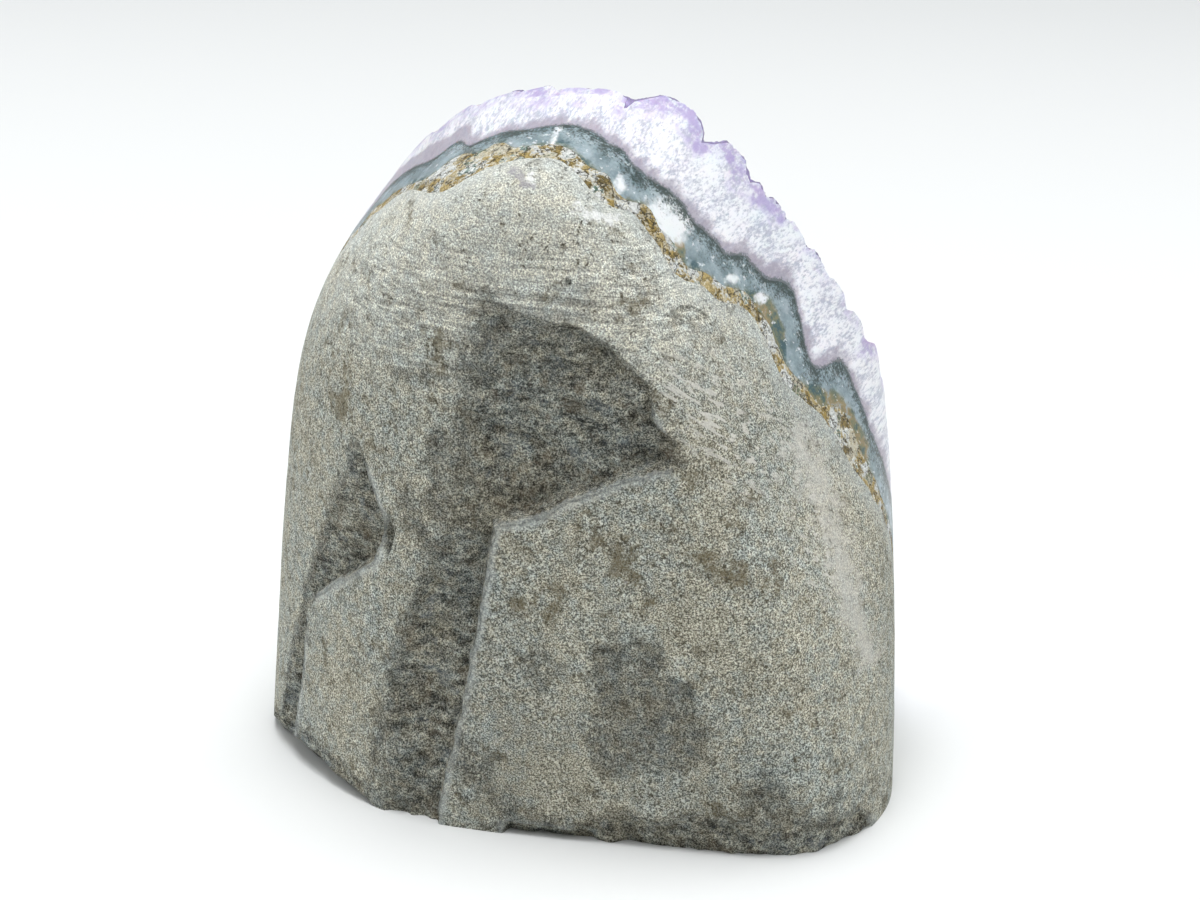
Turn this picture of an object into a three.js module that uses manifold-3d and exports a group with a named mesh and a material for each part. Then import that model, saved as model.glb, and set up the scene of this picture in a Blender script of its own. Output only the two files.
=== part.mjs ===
// Amethyst cluster with a cut base: a ground block of basalt that carries, on its front, the layers
// that grew on the wall of its cavity. In the order that they lie in front of the basalt, these are
// a thin stained rind, a band of chalcedony, and one crust of milky quartz with amethyst points.
// Millimetres. +Z is up, -Y is the ground basalt back, +Y is the crystal front.
// The origin is under the middle of the stone, on the plane that it rests on.

import * as THREE from "three";
import { ConvexGeometry } from "three/addons/geometries/ConvexGeometry.js";
import { mergeVertices } from "three/addons/utils/BufferGeometryUtils.js";
import Module from "manifold-3d";

const wasm = await Module();
wasm.setup();

// The core is a point inside the stone. Ground faces, layers and scars are all measured from it.
const core = new THREE.Vector3(7.41, -7.88, 45);

// Faces ground on the outside, each with the way it faces and its distance from the core.
// Azimuth 0 faces -Y, the back, and 90 faces +X. Elevation is up from level.
const groundFaces = [
  { name: "back", azimuth: 2, elevation: 0, distance: 29 },
  { name: "back left", azimuth: -36.5, elevation: 2.5, distance: 39.3 },
  { name: "left", azimuth: -88.5, elevation: 5.5, distance: 55.9 },
  { name: "back right", azimuth: 62, elevation: 2.5, distance: 43.7 },
  { name: "right", azimuth: 107, elevation: 0, distance: 43.7 },
  { name: "upper back", azimuth: 28, elevation: 32.5, distance: 53.2 },
  { name: "upper left", azimuth: -75, elevation: 43, distance: 58.2 },
  { name: "upper right", azimuth: 66.5, elevation: 24.5, distance: 34.9 },
  { name: "crown", azimuth: 19, elevation: 81, distance: 62.6 },
  { name: "left front rim", azimuth: -135, elevation: 4.5, distance: 53.6 },
  { name: "right front rim", azimuth: 141, elevation: 19, distance: 55 },
];
// How sharply one ground face turns into the next: 2 would be a ball, 40 a crisp block.
const facetSharpness = 9;
const groundDetail = 10;
const farReach = 130;

// The foot of the back left corner is broken off along this plane.
const brokenToe = { azimuth: -45, elevation: -42.5, distance: 60.2 };

// Scars in the basalt. Each is cut square to the face that its azimuth gives. Its outline holds
// [across, height] on that face, with across from the core and height from the base. Its floors
// are planes [distance from the core, rise per mm across, rise per mm of height], and the
// outermost of them counts, so that a scar runs out to a feather edge or stops at a broken wall.
const scars = [
  {
    name: "upper fracture",
    azimuth: 0,
    outline: [
      [17, 60.6], [7.7, 58], [-3.4, 52.4], [-11, 49.3], [-13.5, 35], [-30, 35], [-30, 90], [-13, 86],
      [1.6, 81], [9.5, 75.5], [13.2, 66.5],
    ],
    floors: [[21.4, -0.053, 0.078], [18.4, -0.4, 0.059], [21.1, 0.35, 0]],
  },
  {
    name: "lower fracture",
    azimuth: 0,
    outline: [[-11, 58], [-11, 49.3], [-13.5, 34.8], [-16.9, 18.1], [-21.2, -1], [-45, -1], [-45, 58]],
    floors: [[26.8, 0, -0.02], [12.5, -0.34, 0.195]],
  },
  {
    name: "side gouge",
    azimuth: -36.5,
    outline: [
      [-15, 60], [-8.1, 47.8], [-10.2, 40], [-18.7, 35.1], [-28.2, 27.7], [-30.6, 10.7],
      [-33, 3], [-42, 3], [-42, 30], [-30, 50], [-22, 64],
    ],
    floors: [[26.4, -0.315, 0.124], [38.2, 0, -0.07]],
  },
  {
    name: "chipped foot",
    azimuth: 12,
    outline: [[-16, -1], [40, -1], [38, 4], [21, 6], [4, 4.5], [-16, 2.5]],
    floors: [[27.4, 0.176, 0.31]],
  },
];
const scarReach = 90;

// The wall of the old cavity, where basalt ends and the layers begin. At the base it stands this
// far in front of the core. It leans back as it rises, and its two sides curl forwards.
const wall = { ahead: 20.1, lean: 0.38, turn: 0.074, curl: 0.0034 };
const sheetSpan = { width: 130, height: 126, lowest: -8, columns: 30, coarseColumns: 10, rows: 4 };

// Depths of the layers, in front of the wall, and the gap kept between two solids that touch.
const rindDepth = 1.9;
const chalcedonyDepth = 5.5;
const quartzDepth = 14;
const tipDepth = 25.7;
const seam = 0.3;

// Slow waves of each boundary: how high, and how fast they run across and up.
const wallWaves = [[0.7, 0.19, 0.08], [0.5, 0.41, -0.06]];
const rindWaves = [[0.35, 0.5, 0.07]];
const chalcedonyWaves = [[0.5, 0.33, -0.09]];
// The chalcedony is thicker on the +X side, by up to twice this.
const chalcedonyTilt = { amount: 1.5, middle: -5, width: 8 };

// Swells of the layers along the rim: how far across from the core, how high and how wide.
const wallSwells = [
  { at: -37, height: 1, width: 1.5 },
  { at: -21.5, height: -5.8, width: 7.5 },
  { at: -12, height: -1.8, width: 4 },
  { at: -4.5, height: 0.7, width: 1.5 },
  { at: 2.5, height: -4.4, width: 4 },
  { at: 9, height: -0.8, width: 1.5 },
  { at: 13, height: -4, width: 3 },
  { at: 18, height: -1, width: 1.5 },
  { at: 22.5, height: 4.5, width: 3.5 },
  { at: 30.5, height: -2.6, width: 9 },
  { at: 32.5, height: 3.4, width: 3.5 },
];
const rindPockets = [
  { at: -37.5, height: 0.6, width: 1.5 },
  { at: -20.5, height: 7.7, width: 4 },
  { at: -14.5, height: 4.5, width: 2.5 },
  { at: -5.5, height: 2.2, width: 5.5 },
  { at: 2.5, height: 2.2, width: 1.5 },
  { at: 8.5, height: 1.9, width: 1.5 },
  { at: 12, height: 2.2, width: 1.5 },
  { at: 20, height: 0.8, width: 2 },
  { at: 24.5, height: 1.4, width: 1.5 },
  { at: 31.5, height: -5.5, width: 2.5 },
  { at: 33, height: 4.9, width: 5 },
];
const chalcedonySwells = [
  { at: -34, height: 4.7, width: 7 },
  { at: -23, height: 5.4, width: 2.5 },
  { at: -16.5, height: 8.1, width: 9 },
  { at: -1, height: 4, width: 5 },
  { at: 3, height: 3.2, width: 2 },
  { at: 12, height: 3.4, width: 4 },
  { at: 19.5, height: 1.6, width: 1.5 },
  { at: 26, height: 6.9, width: 2.5 },
  { at: 29.5, height: -1.2, width: 2.5 },
  { at: 33, height: 3, width: 1.5 },
  { at: 35.5, height: 3.9, width: 2.5 },
];
// Below this height the swells grow weaker, down to nothing at the base.
const swellFade = 50;

// Crystals that stand along the ground rim: [across, height of the root, half width, depth of the
// top]. The wear of the rim took their points off, down to a flat top.
const rimCrystals = [
  [-34, 91, 6, 22.9], [-27.5, 96.5, 6, 23.8], [-21, 100.5, 6, 23.8], [-14.5, 103, 6, 23.9],
  [-9, 104, 4.6, 23.4], [-4, 104.3, 5, 23.6], [6.3, 101.3, 5.8, 25.6], [15.3, 95, 4.6, 24.3],
  [19.6, 90, 2.6, 22.6], [22, 87, 3.6, 23], [25, 82.5, 3.8, 22.7], [28, 78, 4.2, 22.4],
  [31, 73.5, 4.4, 22], [33.8, 68, 4.4, 21.6], [36.5, 61.5, 4, 23], [38.5, 54, 5, 22.5],
  [40, 45, 5.5, 22],
];
const rimTilt = 4;
// What is worn off a rim crystal, in half widths, and how far its flat top may slope.
const rimWear = 0.75;
const topSlope = 0.2;

// Crystals of the open front: how far apart they stand, their half widths, and how they vary.
const crystalSpacing = 14.2;
const frontRows = 10;
const frontColumns = 4;
const crystalHalfWidth = { least: 6.8, most: 9.8 };
// How far a crystal may stray from its place, in spacings, and how far its tip may fall short.
const crystalStray = 0.5;
const tipSpread = 3.4;
const crystalRoot = 12;
const frontTilt = 14;
const crystalSeed = 7;
// A quartz tip has six faces, each turned this far from the crystal's axis, in degrees. How far
// the sides stand from the axis and the tip faces fall short of the tip, in half widths.
const tipFaceAngle = 51.8;
const sideReach = { least: 0.88, spread: 0.24 };
const tipShortfall = { everySecond: 0.1, spread: 0.12 };

function radians(degrees) {
  return THREE.MathUtils.degToRad(degrees);
}

function facing(azimuth, elevation) {
  const a = radians(azimuth);
  const e = radians(elevation);
  return new THREE.Vector3(Math.sin(a) * Math.cos(e), -Math.cos(a) * Math.cos(e), Math.sin(e));
}

// A repeatable stream of numbers from 0 to 1.
function seeded(seed) {
  let state = seed;
  return () => {
    state = (state + 0x6d2b79f5) | 0;
    let mixed = Math.imul(state ^ (state >>> 15), 1 | state);
    mixed = (mixed + Math.imul(mixed ^ (mixed >>> 7), 61 | mixed)) ^ mixed;
    return ((mixed ^ (mixed >>> 14)) >>> 0) / 4294967296;
  };
}

function toSolid(geometry) {
  geometry.deleteAttribute("normal");
  geometry.deleteAttribute("uv");
  const merged = mergeVertices(geometry, 1e-4);
  const vertProperties = new Float32Array(merged.attributes.position.array);
  const triVerts = new Uint32Array(merged.index.array);
  return new wasm.Manifold(new wasm.Mesh({ numProp: 3, vertProperties, triVerts }));
}

function toMesh(name, solid, color, roughness) {
  const { vertProperties, triVerts } = solid.getMesh();
  const geometry = new THREE.BufferGeometry();
  geometry.setAttribute("position", new THREE.BufferAttribute(vertProperties, 3));
  geometry.setIndex(new THREE.BufferAttribute(triVerts, 1));
  const finish = new THREE.MeshStandardMaterial({ color, roughness, metalness: 0, flatShading: true });
  const mesh = new THREE.Mesh(geometry, finish);
  mesh.name = name;
  return mesh;
}

// Keeps the part of a solid that lies on the side that a plane's normal points to.
function keepSide(solid, plane) {
  return solid.trimByPlane(plane.normal.toArray(), -plane.constant);
}

// Distance from the core to the ground outside, along one direction.
function groundRadius(direction) {
  let sum = 0;
  for (const face of groundFaces) {
    const share = direction.dot(facing(face.azimuth, face.elevation)) / face.distance;
    sum += Math.max(0, share) ** facetSharpness;
  }
  return Math.min(sum ** (-1 / facetSharpness), farReach);
}

// The whole stone as it was ground, cut flat below and broken at the toe.
function groundStone() {
  const ball = new THREE.IcosahedronGeometry(1, groundDetail);
  const places = ball.attributes.position;
  const point = new THREE.Vector3();
  for (let i = 0; i < places.count; i += 1) {
    point.fromBufferAttribute(places, i).normalize();
    point.multiplyScalar(groundRadius(point)).add(core);
    places.setXYZ(i, point.x, point.y, point.z);
  }
  const base = new THREE.Plane(new THREE.Vector3(0, 0, 1), 0);
  const toeNormal = facing(brokenToe.azimuth, brokenToe.elevation);
  const toeOffset = brokenToe.distance + toeNormal.dot(core);
  const toe = new THREE.Plane(toeNormal.negate(), toeOffset);
  return keepSide(keepSide(toSolid(ball), base), toe);
}

// Swells of the rim, which fade out towards the base.
function swell(swells, across, z) {
  const share = THREE.MathUtils.clamp(z / swellFade, 0, 1);
  const shape = ({ at, height, width }) => height * Math.exp(-(((across - at) / width) ** 2));
  return swells.reduce((sum, one) => sum + share * shape(one), 0);
}

function wave(waves, across, z) {
  const shape = ([height, alongX, upZ]) => height * Math.sin(alongX * across + upZ * z);
  return waves.reduce((sum, one) => sum + shape(one), 0);
}

// Y of the cavity wall in its broad sweep, without its swells.
function sweepY(x, z) {
  const across = x - core.x;
  return core.y + wall.ahead - wall.lean * z - wall.turn * across + wall.curl * across ** 2;
}

function wallY(x, z) {
  const across = x - core.x;
  return sweepY(x, z) + swell(wallSwells, across, z) + wave(wallWaves, across, z);
}

function rindFrontY(x, z) {
  const across = x - core.x;
  return wallY(x, z) + rindDepth + swell(rindPockets, across, z) + wave(rindWaves, across, z);
}

function chalcedonyFrontY(x, z) {
  const across = x - core.x;
  const { amount, middle, width } = chalcedonyTilt;
  const depth = chalcedonyDepth + amount * Math.tanh((across - middle) / width);
  return wallY(x, z) + depth + swell(chalcedonySwells, across, z) + wave(chalcedonyWaves, across, z);
}

function quartzFrontY(x, z) {
  return sweepY(x, z) + quartzDepth;
}

// Everything in front of a sheet, which is given as y over x and z.
function inFrontOf(sheetY, columns = sheetSpan.columns) {
  const { width, height, lowest, rows } = sheetSpan;
  const block = new THREE.BoxGeometry(width, 2, height, columns, 1, rows);
  block.translate(0, 0, lowest + height / 2);
  const places = block.attributes.position;
  for (let i = 0; i < places.count; i += 1) {
    const isSheet = places.getY(i) < 0;
    places.setY(i, isSheet ? sheetY(places.getX(i), places.getZ(i)) : farReach);
  }
  return toSolid(block);
}

// The tool that breaks one scar out of the basalt.
function scarTool({ azimuth, outline, floors }) {
  const shape = new THREE.Shape(outline.map(([across, height]) => new THREE.Vector2(across, height)));
  const prism = new THREE.ExtrudeGeometry(shape, { depth: scarReach, bevelEnabled: false });
  const outward = facing(azimuth, 0);
  const up = new THREE.Vector3(0, 0, 1);
  const placement = new THREE.Matrix4().makeBasis(up.clone().cross(outward), up, outward);
  placement.setPosition(core.x, core.y, 0);
  let tool = toSolid(prism.applyMatrix4(placement));
  for (const [distance, riseAcross, riseUp] of floors) {
    const normal = new THREE.Vector3(-riseAcross, -riseUp, 1);
    const floor = new THREE.Plane(normal, -distance).normalize().applyMatrix4(placement);
    tool = keepSide(tool, floor);
  }
  return tool;
}

// The corners of the convex body that lies behind every one of a set of planes.
function cornersBehind(planes) {
  const corners = [];
  const rows = new THREE.Matrix3();
  planes.forEach((a, i) => {
    planes.slice(i + 1).forEach((b, j) => {
      planes.slice(i + j + 2).forEach((c) => {
        rows.set(...a.normal.toArray(), ...b.normal.toArray(), ...c.normal.toArray());
        if (Math.abs(rows.determinant()) < 1e-3) {
          return;
        }
        const corner = new THREE.Vector3(-a.constant, -b.constant, -c.constant);
        corner.applyMatrix3(rows.clone().invert());
        if (planes.every((plane) => plane.distanceToPoint(corner) < 1e-4)) {
          corners.push(corner);
        }
      });
    });
  });
  return corners;
}

// One quartz crystal, from its root at the origin up +Z to its top. Its sides and its tip faces
// stand at slightly uneven distances, as they do on grown quartz. Where the point is worn off,
// a flat closes the top.
function crystalBody(random, halfWidth, height, worn) {
  const planes = [new THREE.Plane(new THREE.Vector3(0, 0, -1), 0)];
  const tilt = radians(tipFaceAngle);
  const tipDistance = (height + worn) * Math.cos(tilt);
  for (let side = 0; side < 6; side += 1) {
    const turn = (side * Math.PI) / 3;
    const outward = new THREE.Vector3(Math.cos(turn), Math.sin(turn), 0);
    planes.push(new THREE.Plane(outward, -halfWidth * (sideReach.least + sideReach.spread * random())));
    const tipNormal = outward.clone().multiplyScalar(Math.sin(tilt));
    tipNormal.z = Math.cos(tilt);
    const shortfall = (side % 2) * tipShortfall.everySecond + tipShortfall.spread * random();
    planes.push(new THREE.Plane(tipNormal, shortfall * halfWidth - tipDistance));
  }
  if (worn > 0) {
    const top = new THREE.Vector3(2 * random() - 1, 2 * random() - 1, 1 / topSlope).normalize();
    planes.push(new THREE.Plane(top, -height * top.z));
  }
  return new ConvexGeometry(cornersBehind(planes));
}

// One crystal where it grows, out of the wall and turned and tilted a little.
function grownCrystal(random, tilt, wear, [across, height, halfWidth, depth]) {
  const body = crystalBody(random, halfWidth, depth - crystalRoot, wear * halfWidth);
  body.applyMatrix4(new THREE.Matrix4().makeRotationZ(random() * Math.PI));
  const lean = Math.tan(radians(tilt));
  const axis = new THREE.Vector3(wall.turn, 1, wall.lean).normalize();
  axis.x += lean * (2 * random() - 1);
  axis.z += lean * (2 * random() - 1);
  const up = new THREE.Vector3(0, 0, 1);
  body.applyQuaternion(new THREE.Quaternion().setFromUnitVectors(up, axis.normalize()));
  const x = core.x + across;
  body.translate(x, sweepY(x, height) + crystalRoot, height);
  return toSolid(body);
}

function isFree(across, height) {
  return rimCrystals.every(([a, h, halfWidth]) => Math.hypot(a - across, h - height) > halfWidth);
}

// The rim crystals, then offset rows of crystals over the rest of the front.
function crystals() {
  const random = seeded(crystalSeed);
  const grown = rimCrystals.map((place) => grownCrystal(random, rimTilt, rimWear, place));
  const rowHeight = crystalSpacing * Math.sqrt(0.75);
  const { least, most } = crystalHalfWidth;
  for (let row = 0; row < frontRows; row += 1) {
    for (let column = -frontColumns; column <= frontColumns; column += 1) {
      const across = (column + (row % 2) / 2 + crystalStray * (random() - 0.5)) * crystalSpacing;
      const height = row * rowHeight + crystalStray * (random() - 0.5) * crystalSpacing;
      const halfWidth = least + (most - least) * random() ** 1.6;
      const depth = tipDepth - tipSpread * random() + (halfWidth - least) / 2;
      if (isFree(across, height)) {
        grown.push(grownCrystal(random, frontTilt, 0, [across, height, halfWidth, depth]));
      }
    }
  }
  return grown;
}

function largest(solid) {
  return solid.decompose().reduce((best, piece) => (piece.volume() > best.volume() ? piece : best));
}

// The same sheet, moved half a seam back or forwards.
function shifted(sheetY, depth) {
  return (x, z) => sheetY(x, z) + depth;
}

function layer(stone, backY, frontY) {
  const rest = stone.intersect(inFrontOf(shifted(backY, seam / 2)));
  return rest.subtract(inFrontOf(shifted(frontY, -seam / 2)));
}

function basaltMatrix(stone) {
  const block = stone.subtract(inFrontOf(shifted(wallY, -seam / 2)));
  return scars.reduce((solid, scar) => solid.subtract(scarTool(scar)), block);
}

function amethystCrust(stone) {
  const room = stone.intersect(inFrontOf(shifted(chalcedonyFrontY, seam / 2)));
  const milky = room.subtract(inFrontOf(quartzFrontY, sheetSpan.coarseColumns));
  const points = room.intersect(wasm.Manifold.union(crystals()));
  return largest(milky.add(points));
}

const stone = groundStone();
const cluster = new THREE.Group();
cluster.name = "amethyst_cluster";
cluster.add(toMesh("basalt_matrix", basaltMatrix(stone), 0x8f8f87, 0.85));
cluster.add(toMesh("celadonite_rind", layer(stone, wallY, rindFrontY), 0xa08a55, 0.9));
cluster.add(toMesh("chalcedony_band", layer(stone, rindFrontY, chalcedonyFrontY), 0x93a5a3, 0.25));
cluster.add(toMesh("amethyst_crust", amethystCrust(stone), 0xc9bfe0, 0.12));

export default cluster;
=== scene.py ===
import itertools
import math
import bmesh
import bpy
import numpy as np
from mathutils import Matrix, Vector


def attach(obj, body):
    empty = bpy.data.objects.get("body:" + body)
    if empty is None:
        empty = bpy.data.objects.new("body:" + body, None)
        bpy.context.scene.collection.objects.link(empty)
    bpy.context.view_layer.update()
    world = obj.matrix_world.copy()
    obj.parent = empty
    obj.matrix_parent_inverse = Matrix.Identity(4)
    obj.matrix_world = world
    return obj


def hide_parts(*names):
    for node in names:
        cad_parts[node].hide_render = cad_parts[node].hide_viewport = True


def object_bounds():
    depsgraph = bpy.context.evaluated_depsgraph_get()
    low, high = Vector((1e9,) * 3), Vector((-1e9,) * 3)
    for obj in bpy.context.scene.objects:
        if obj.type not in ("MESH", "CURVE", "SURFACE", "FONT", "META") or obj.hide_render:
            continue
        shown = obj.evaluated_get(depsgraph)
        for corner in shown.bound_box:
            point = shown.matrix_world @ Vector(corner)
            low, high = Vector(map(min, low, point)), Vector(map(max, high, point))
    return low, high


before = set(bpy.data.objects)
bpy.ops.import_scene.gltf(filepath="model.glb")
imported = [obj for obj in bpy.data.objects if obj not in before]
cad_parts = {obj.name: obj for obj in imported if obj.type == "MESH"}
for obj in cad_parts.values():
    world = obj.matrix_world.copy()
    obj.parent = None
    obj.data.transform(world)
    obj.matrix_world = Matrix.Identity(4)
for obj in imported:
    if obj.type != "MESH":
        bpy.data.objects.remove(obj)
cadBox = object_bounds()
print("frame loaded")

# Everything is worked out in millimetres around the core, a point inside the stone, and turned
# to metres when a mesh is made. The form has the same measures as the solids.
core = np.array([7.41, -7.88, 45.0])
farReach = 130
farOutside = 4000

stoneForm = {
    # way the face looks (azimuth, elevation) and its distance from the core
    "groundFaces": [
        (2, 0, 29), (-36.5, 2.5, 39.3), (-88.5, 5.5, 55.9), (62, 2.5, 43.7), (107, 0, 43.7),
        (28, 32.5, 53.2), (-75, 43, 58.2), (66.5, 24.5, 34.9), (19, 81, 62.6),
        (-135, 4.5, 53.6), (141, 19, 55),
    ],
    "facetSharpness": 9,
    # dents of the ground faces: depth, size, seed
    "dents": [(0.1, 8, 61), (0.04, 2.4, 62)],
    # the face broken along the toe, its relief, and how dark it and the sawn base are
    "brokenToe": (-45, -42.5, 60.2), "toeRelief": [(0.7, 6, 3), (0.35, 2.4, 4), (0.15, 1.2, 5)],
    "toeBand": 1.3, "toeTone": 0.9, "baseTone": 0.4,
    "ballSteps": 92,
}


def facing(azimuth, elevation):
    a, e = math.radians(azimuth), math.radians(elevation)
    return np.array([math.sin(a) * math.cos(e), -math.cos(a) * math.cos(e), math.sin(e)])


def smooth(low, high, value):
    t = np.clip((value - low) / (high - low), 0, 1)
    return t * t * (3 - 2 * t)


def patchy(points, size, seed):
    # a soft random field from -1 to 1, with patches of that size in mm
    spots = points / size
    cell = np.floor(spots).astype(np.int64)
    part = spots - cell
    ease = part * part * (3 - 2 * part)
    total = np.zeros(len(points))
    for corner in itertools.product((0, 1), repeat=3):
        x, y, z = (cell + corner).T
        mixed = (x * 73856093) ^ (y * 19349663) ^ (z * 83492791) ^ (seed * 2654435761)
        mixed = ((mixed ^ (mixed >> 13)) * 1274126177) & 0xFFFFFFFF
        value = ((mixed ^ (mixed >> 16)) & 0xFFFF) / 32768 - 1
        weight = np.prod(np.where(corner, ease, 1 - ease), axis=1)
        total += value * weight
    return total


def patches(points, *parts):
    # a sum of such fields: the share, size and seed of each
    return sum(share * patchy(points, size, seed) for share, size, seed in parts)


def facetSum(offsets):
    # below 1 inside the stone, where each ground face counts by how near it lies
    total = np.zeros(len(offsets))
    for azimuth, elevation, distance in stoneForm["groundFaces"]:
        share = offsets @ facing(azimuth, elevation) / distance
        total += np.maximum(share, 0) ** stoneForm["facetSharpness"]
    return total


def groundRadius(directions):
    radius = np.maximum(facetSum(directions), 1e-20) ** (-1 / stoneForm["facetSharpness"])
    return np.minimum(radius, farReach)


def depthInStone(points):
    # how far a point lies below the ground outside, along its line to the core
    offset = points - core
    reach = np.linalg.norm(offset, axis=1)
    return groundRadius(offset / reach[:, None]) - reach


def nearLine(across, height, line):
    # 1 on a line (from, to, reach) drawn on the back of the stone, 0 beyond its reach
    ax, ay, bx, by, reach = line
    dx, dy = bx - ax, by - ay
    share = np.clip(((across - ax) * dx + (height - ay) * dy) / (dx * dx + dy * dy + 1e-9), 0, 1)
    away = np.hypot(across - ax - share * dx, height - ay - share * dy)
    return np.clip(1 - away / reach, 0, 1)


def nearLines(spots, lines):
    return np.max([nearLine(spots[:, 0] - core[0], spots[:, 2], line) for line in lines], axis=0)


def makeMesh(name, points, faces):
    mesh = bpy.data.meshes.new(name)
    mesh.from_pydata(points.tolist(), [], faces.tolist() if hasattr(faces, "tolist") else faces)
    mesh.update()
    thing = bpy.data.objects.new(name, mesh)
    bpy.context.scene.collection.objects.link(thing)
    return thing


def remade(body, kind, **settings):
    # rebuilds the mesh of a body by one modifier
    step = body.modifiers.new("step", kind)
    for name, value in settings.items():
        setattr(step, name, value)
    bpy.context.view_layer.update()
    made = bpy.data.meshes.new_from_object(body.evaluated_get(bpy.context.evaluated_depsgraph_get()))
    body.modifiers.clear()
    old, body.data = body.data, made
    bpy.data.meshes.remove(old)
    return body


def combine(body, tool, operation):
    # joins, cuts or keeps the overlap with a tool, which is used up
    remade(body, "BOOLEAN", solver="MANIFOLD", operation=operation, object=tool)
    toolMesh = tool.data
    bpy.data.objects.remove(tool)
    bpy.data.meshes.remove(toolMesh)
    return body


def geodesic(steps):
    # a ball of even triangles: the 20 faces of an icosahedron, each divided in rows
    golden = (1 + math.sqrt(5)) / 2
    corners = np.array([
        (-1, golden, 0), (1, golden, 0), (-1, -golden, 0), (1, -golden, 0),
        (0, -1, golden), (0, 1, golden), (0, -1, -golden), (0, 1, -golden),
        (golden, 0, -1), (golden, 0, 1), (-golden, 0, -1), (-golden, 0, 1),
    ])
    sides = [
        (0, 11, 5), (0, 5, 1), (0, 1, 7), (0, 7, 10), (0, 10, 11),
        (1, 5, 9), (5, 11, 4), (11, 10, 2), (10, 7, 6), (7, 1, 8),
        (3, 9, 4), (3, 4, 2), (3, 2, 6), (3, 6, 8), (3, 8, 9),
        (4, 9, 5), (2, 4, 11), (6, 2, 10), (8, 6, 7), (9, 8, 1),
    ]
    along, up = np.array([(i, j) for j in range(steps + 1) for i in range(steps + 1 - j)]).T
    place = {(i, j): n for n, (i, j) in enumerate(zip(along.tolist(), up.tolist()))}
    pattern = []
    for j in range(steps):
        for i in range(steps - j):
            pattern.append((place[i, j], place[i + 1, j], place[i, j + 1]))
            if i + j < steps - 1:
                pattern.append((place[i + 1, j], place[i + 1, j + 1], place[i, j + 1]))
    pattern = np.array(pattern)
    points, faces = [], []
    for n, (a, b, c) in enumerate(sides):
        share = np.stack([steps - along - up, along, up], axis=1) / steps
        points.append(share @ corners[[a, b, c]])
        faces.append(pattern + n * len(along))
    points = np.concatenate(points)
    points /= np.linalg.norm(points, axis=1)[:, None]
    _, first, back = np.unique(np.round(points, 6), axis=0, return_index=True, return_inverse=True)
    return points[first], back.reshape(-1)[np.concatenate(faces)]


ballDirections, ballFaces = geodesic(stoneForm["ballSteps"])
print("ball", len(ballDirections), len(ballFaces))

# The wall of the old cavity and the layers in front of it, all given as y over x and z.
layerForm = {
    "ahead": 20.1, "lean": 0.38, "turn": 0.074, "curl": 0.0034,
    "rindDepth": 1.9, "chalcedonyDepth": 5.5, "quartzDepth": 14,
    # swells along the rim: across from the core, height, width
    "wallSwells": [(-37, 1, 1.5), (-21.5, -5.8, 7.5), (-12, -1.8, 4), (-4.5, 0.7, 1.5), (2.5, -4.4, 4),
                   (9, -0.8, 1.5), (13, -4, 3), (18, -1, 1.5), (22.5, 4.5, 3.5), (30.5, -2.6, 9),
                   (32.5, 3.4, 3.5)],
    "rindPockets": [(-37.5, 0.6, 1.5), (-20.5, 7.7, 4), (-14.5, 4.5, 2.5), (-5.5, 2.2, 5.5),
                    (2.5, 2.2, 1.5), (8.5, 1.9, 1.5), (12, 2.2, 1.5), (20, 0.8, 2), (24.5, 1.4, 1.5),
                    (31.5, -5.5, 2.5), (33, 4.9, 5)],
    "chalcedonySwells": [(-34, 4.7, 7), (-23, 5.4, 2.5), (-16.5, 8.1, 9), (-1, 4, 5), (3, 3.2, 2),
                         (12, 3.4, 4), (19.5, 1.6, 1.5), (26, 6.9, 2.5), (29.5, -1.2, 2.5), (33, 3, 1.5),
                         (35.5, 3.9, 2.5)],
    # a gap between the layers, so that no two faces lie in one place
    "parting": 0.02,
    # the grid that the layers are worked out on: from, to, step
    "columns": (-66, 66.01, 0.7), "rows": (-8, 118.01, 1.2),
}


def swell(swells, across):
    return sum(height * np.exp(-((across - at) / width) ** 2) for at, height, width in swells)


def rimShare(z):
    return np.clip(z / 50, 0, 1)


def sweepY(x, z):
    a = x - core[0]
    form = layerForm
    return core[1] + form["ahead"] - form["lean"] * z - form["turn"] * a + form["curl"] * a ** 2


def fineEdge(x, z, amount, size, seed):
    # the small steps and teeth of a grown boundary
    spots = np.stack([x, 0 * x + 7.3, z * 0.6], axis=1)
    return amount * patches(spots, (1, size, seed), (0.6, size / 2.3, seed + 1), (0.3, 0.9, seed + 2))


def wallY(x, z):
    a = x - core[0]
    waves = 0.7 * np.sin(0.19 * a + 0.08 * z) + 0.5 * np.sin(0.41 * a - 0.06 * z)
    fine = fineEdge(x, z, 0.45, 3.1, 11)
    return sweepY(x, z) + rimShare(z) * swell(layerForm["wallSwells"], a) + waves + fine


def rindFrontY(x, z):
    a = x - core[0]
    waves = 0.35 * np.sin(0.5 * a + 0.07 * z)
    thick = layerForm["rindDepth"] + rimShare(z) * swell(layerForm["rindPockets"], a) + waves
    return wallY(x, z) + np.maximum(thick + fineEdge(x, z, 0.5, 3, 23), 0.4)


def chalcedonyFrontY(x, z):
    a = x - core[0]
    thicker = 1.5 * np.tanh((a + 5) / 8)
    waves = 0.5 * np.sin(0.33 * a - 0.09 * z)
    swells = rimShare(z) * swell(layerForm["chalcedonySwells"], a)
    thick = layerForm["chalcedonyDepth"] + thicker + swells + waves
    return np.maximum(wallY(x, z) - fineEdge(x, z, 0.45, 3.1, 11) + thick + fineEdge(x, z, 0.7, 3.4, 37),
                      rindFrontY(x, z) + 0.4)


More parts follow.
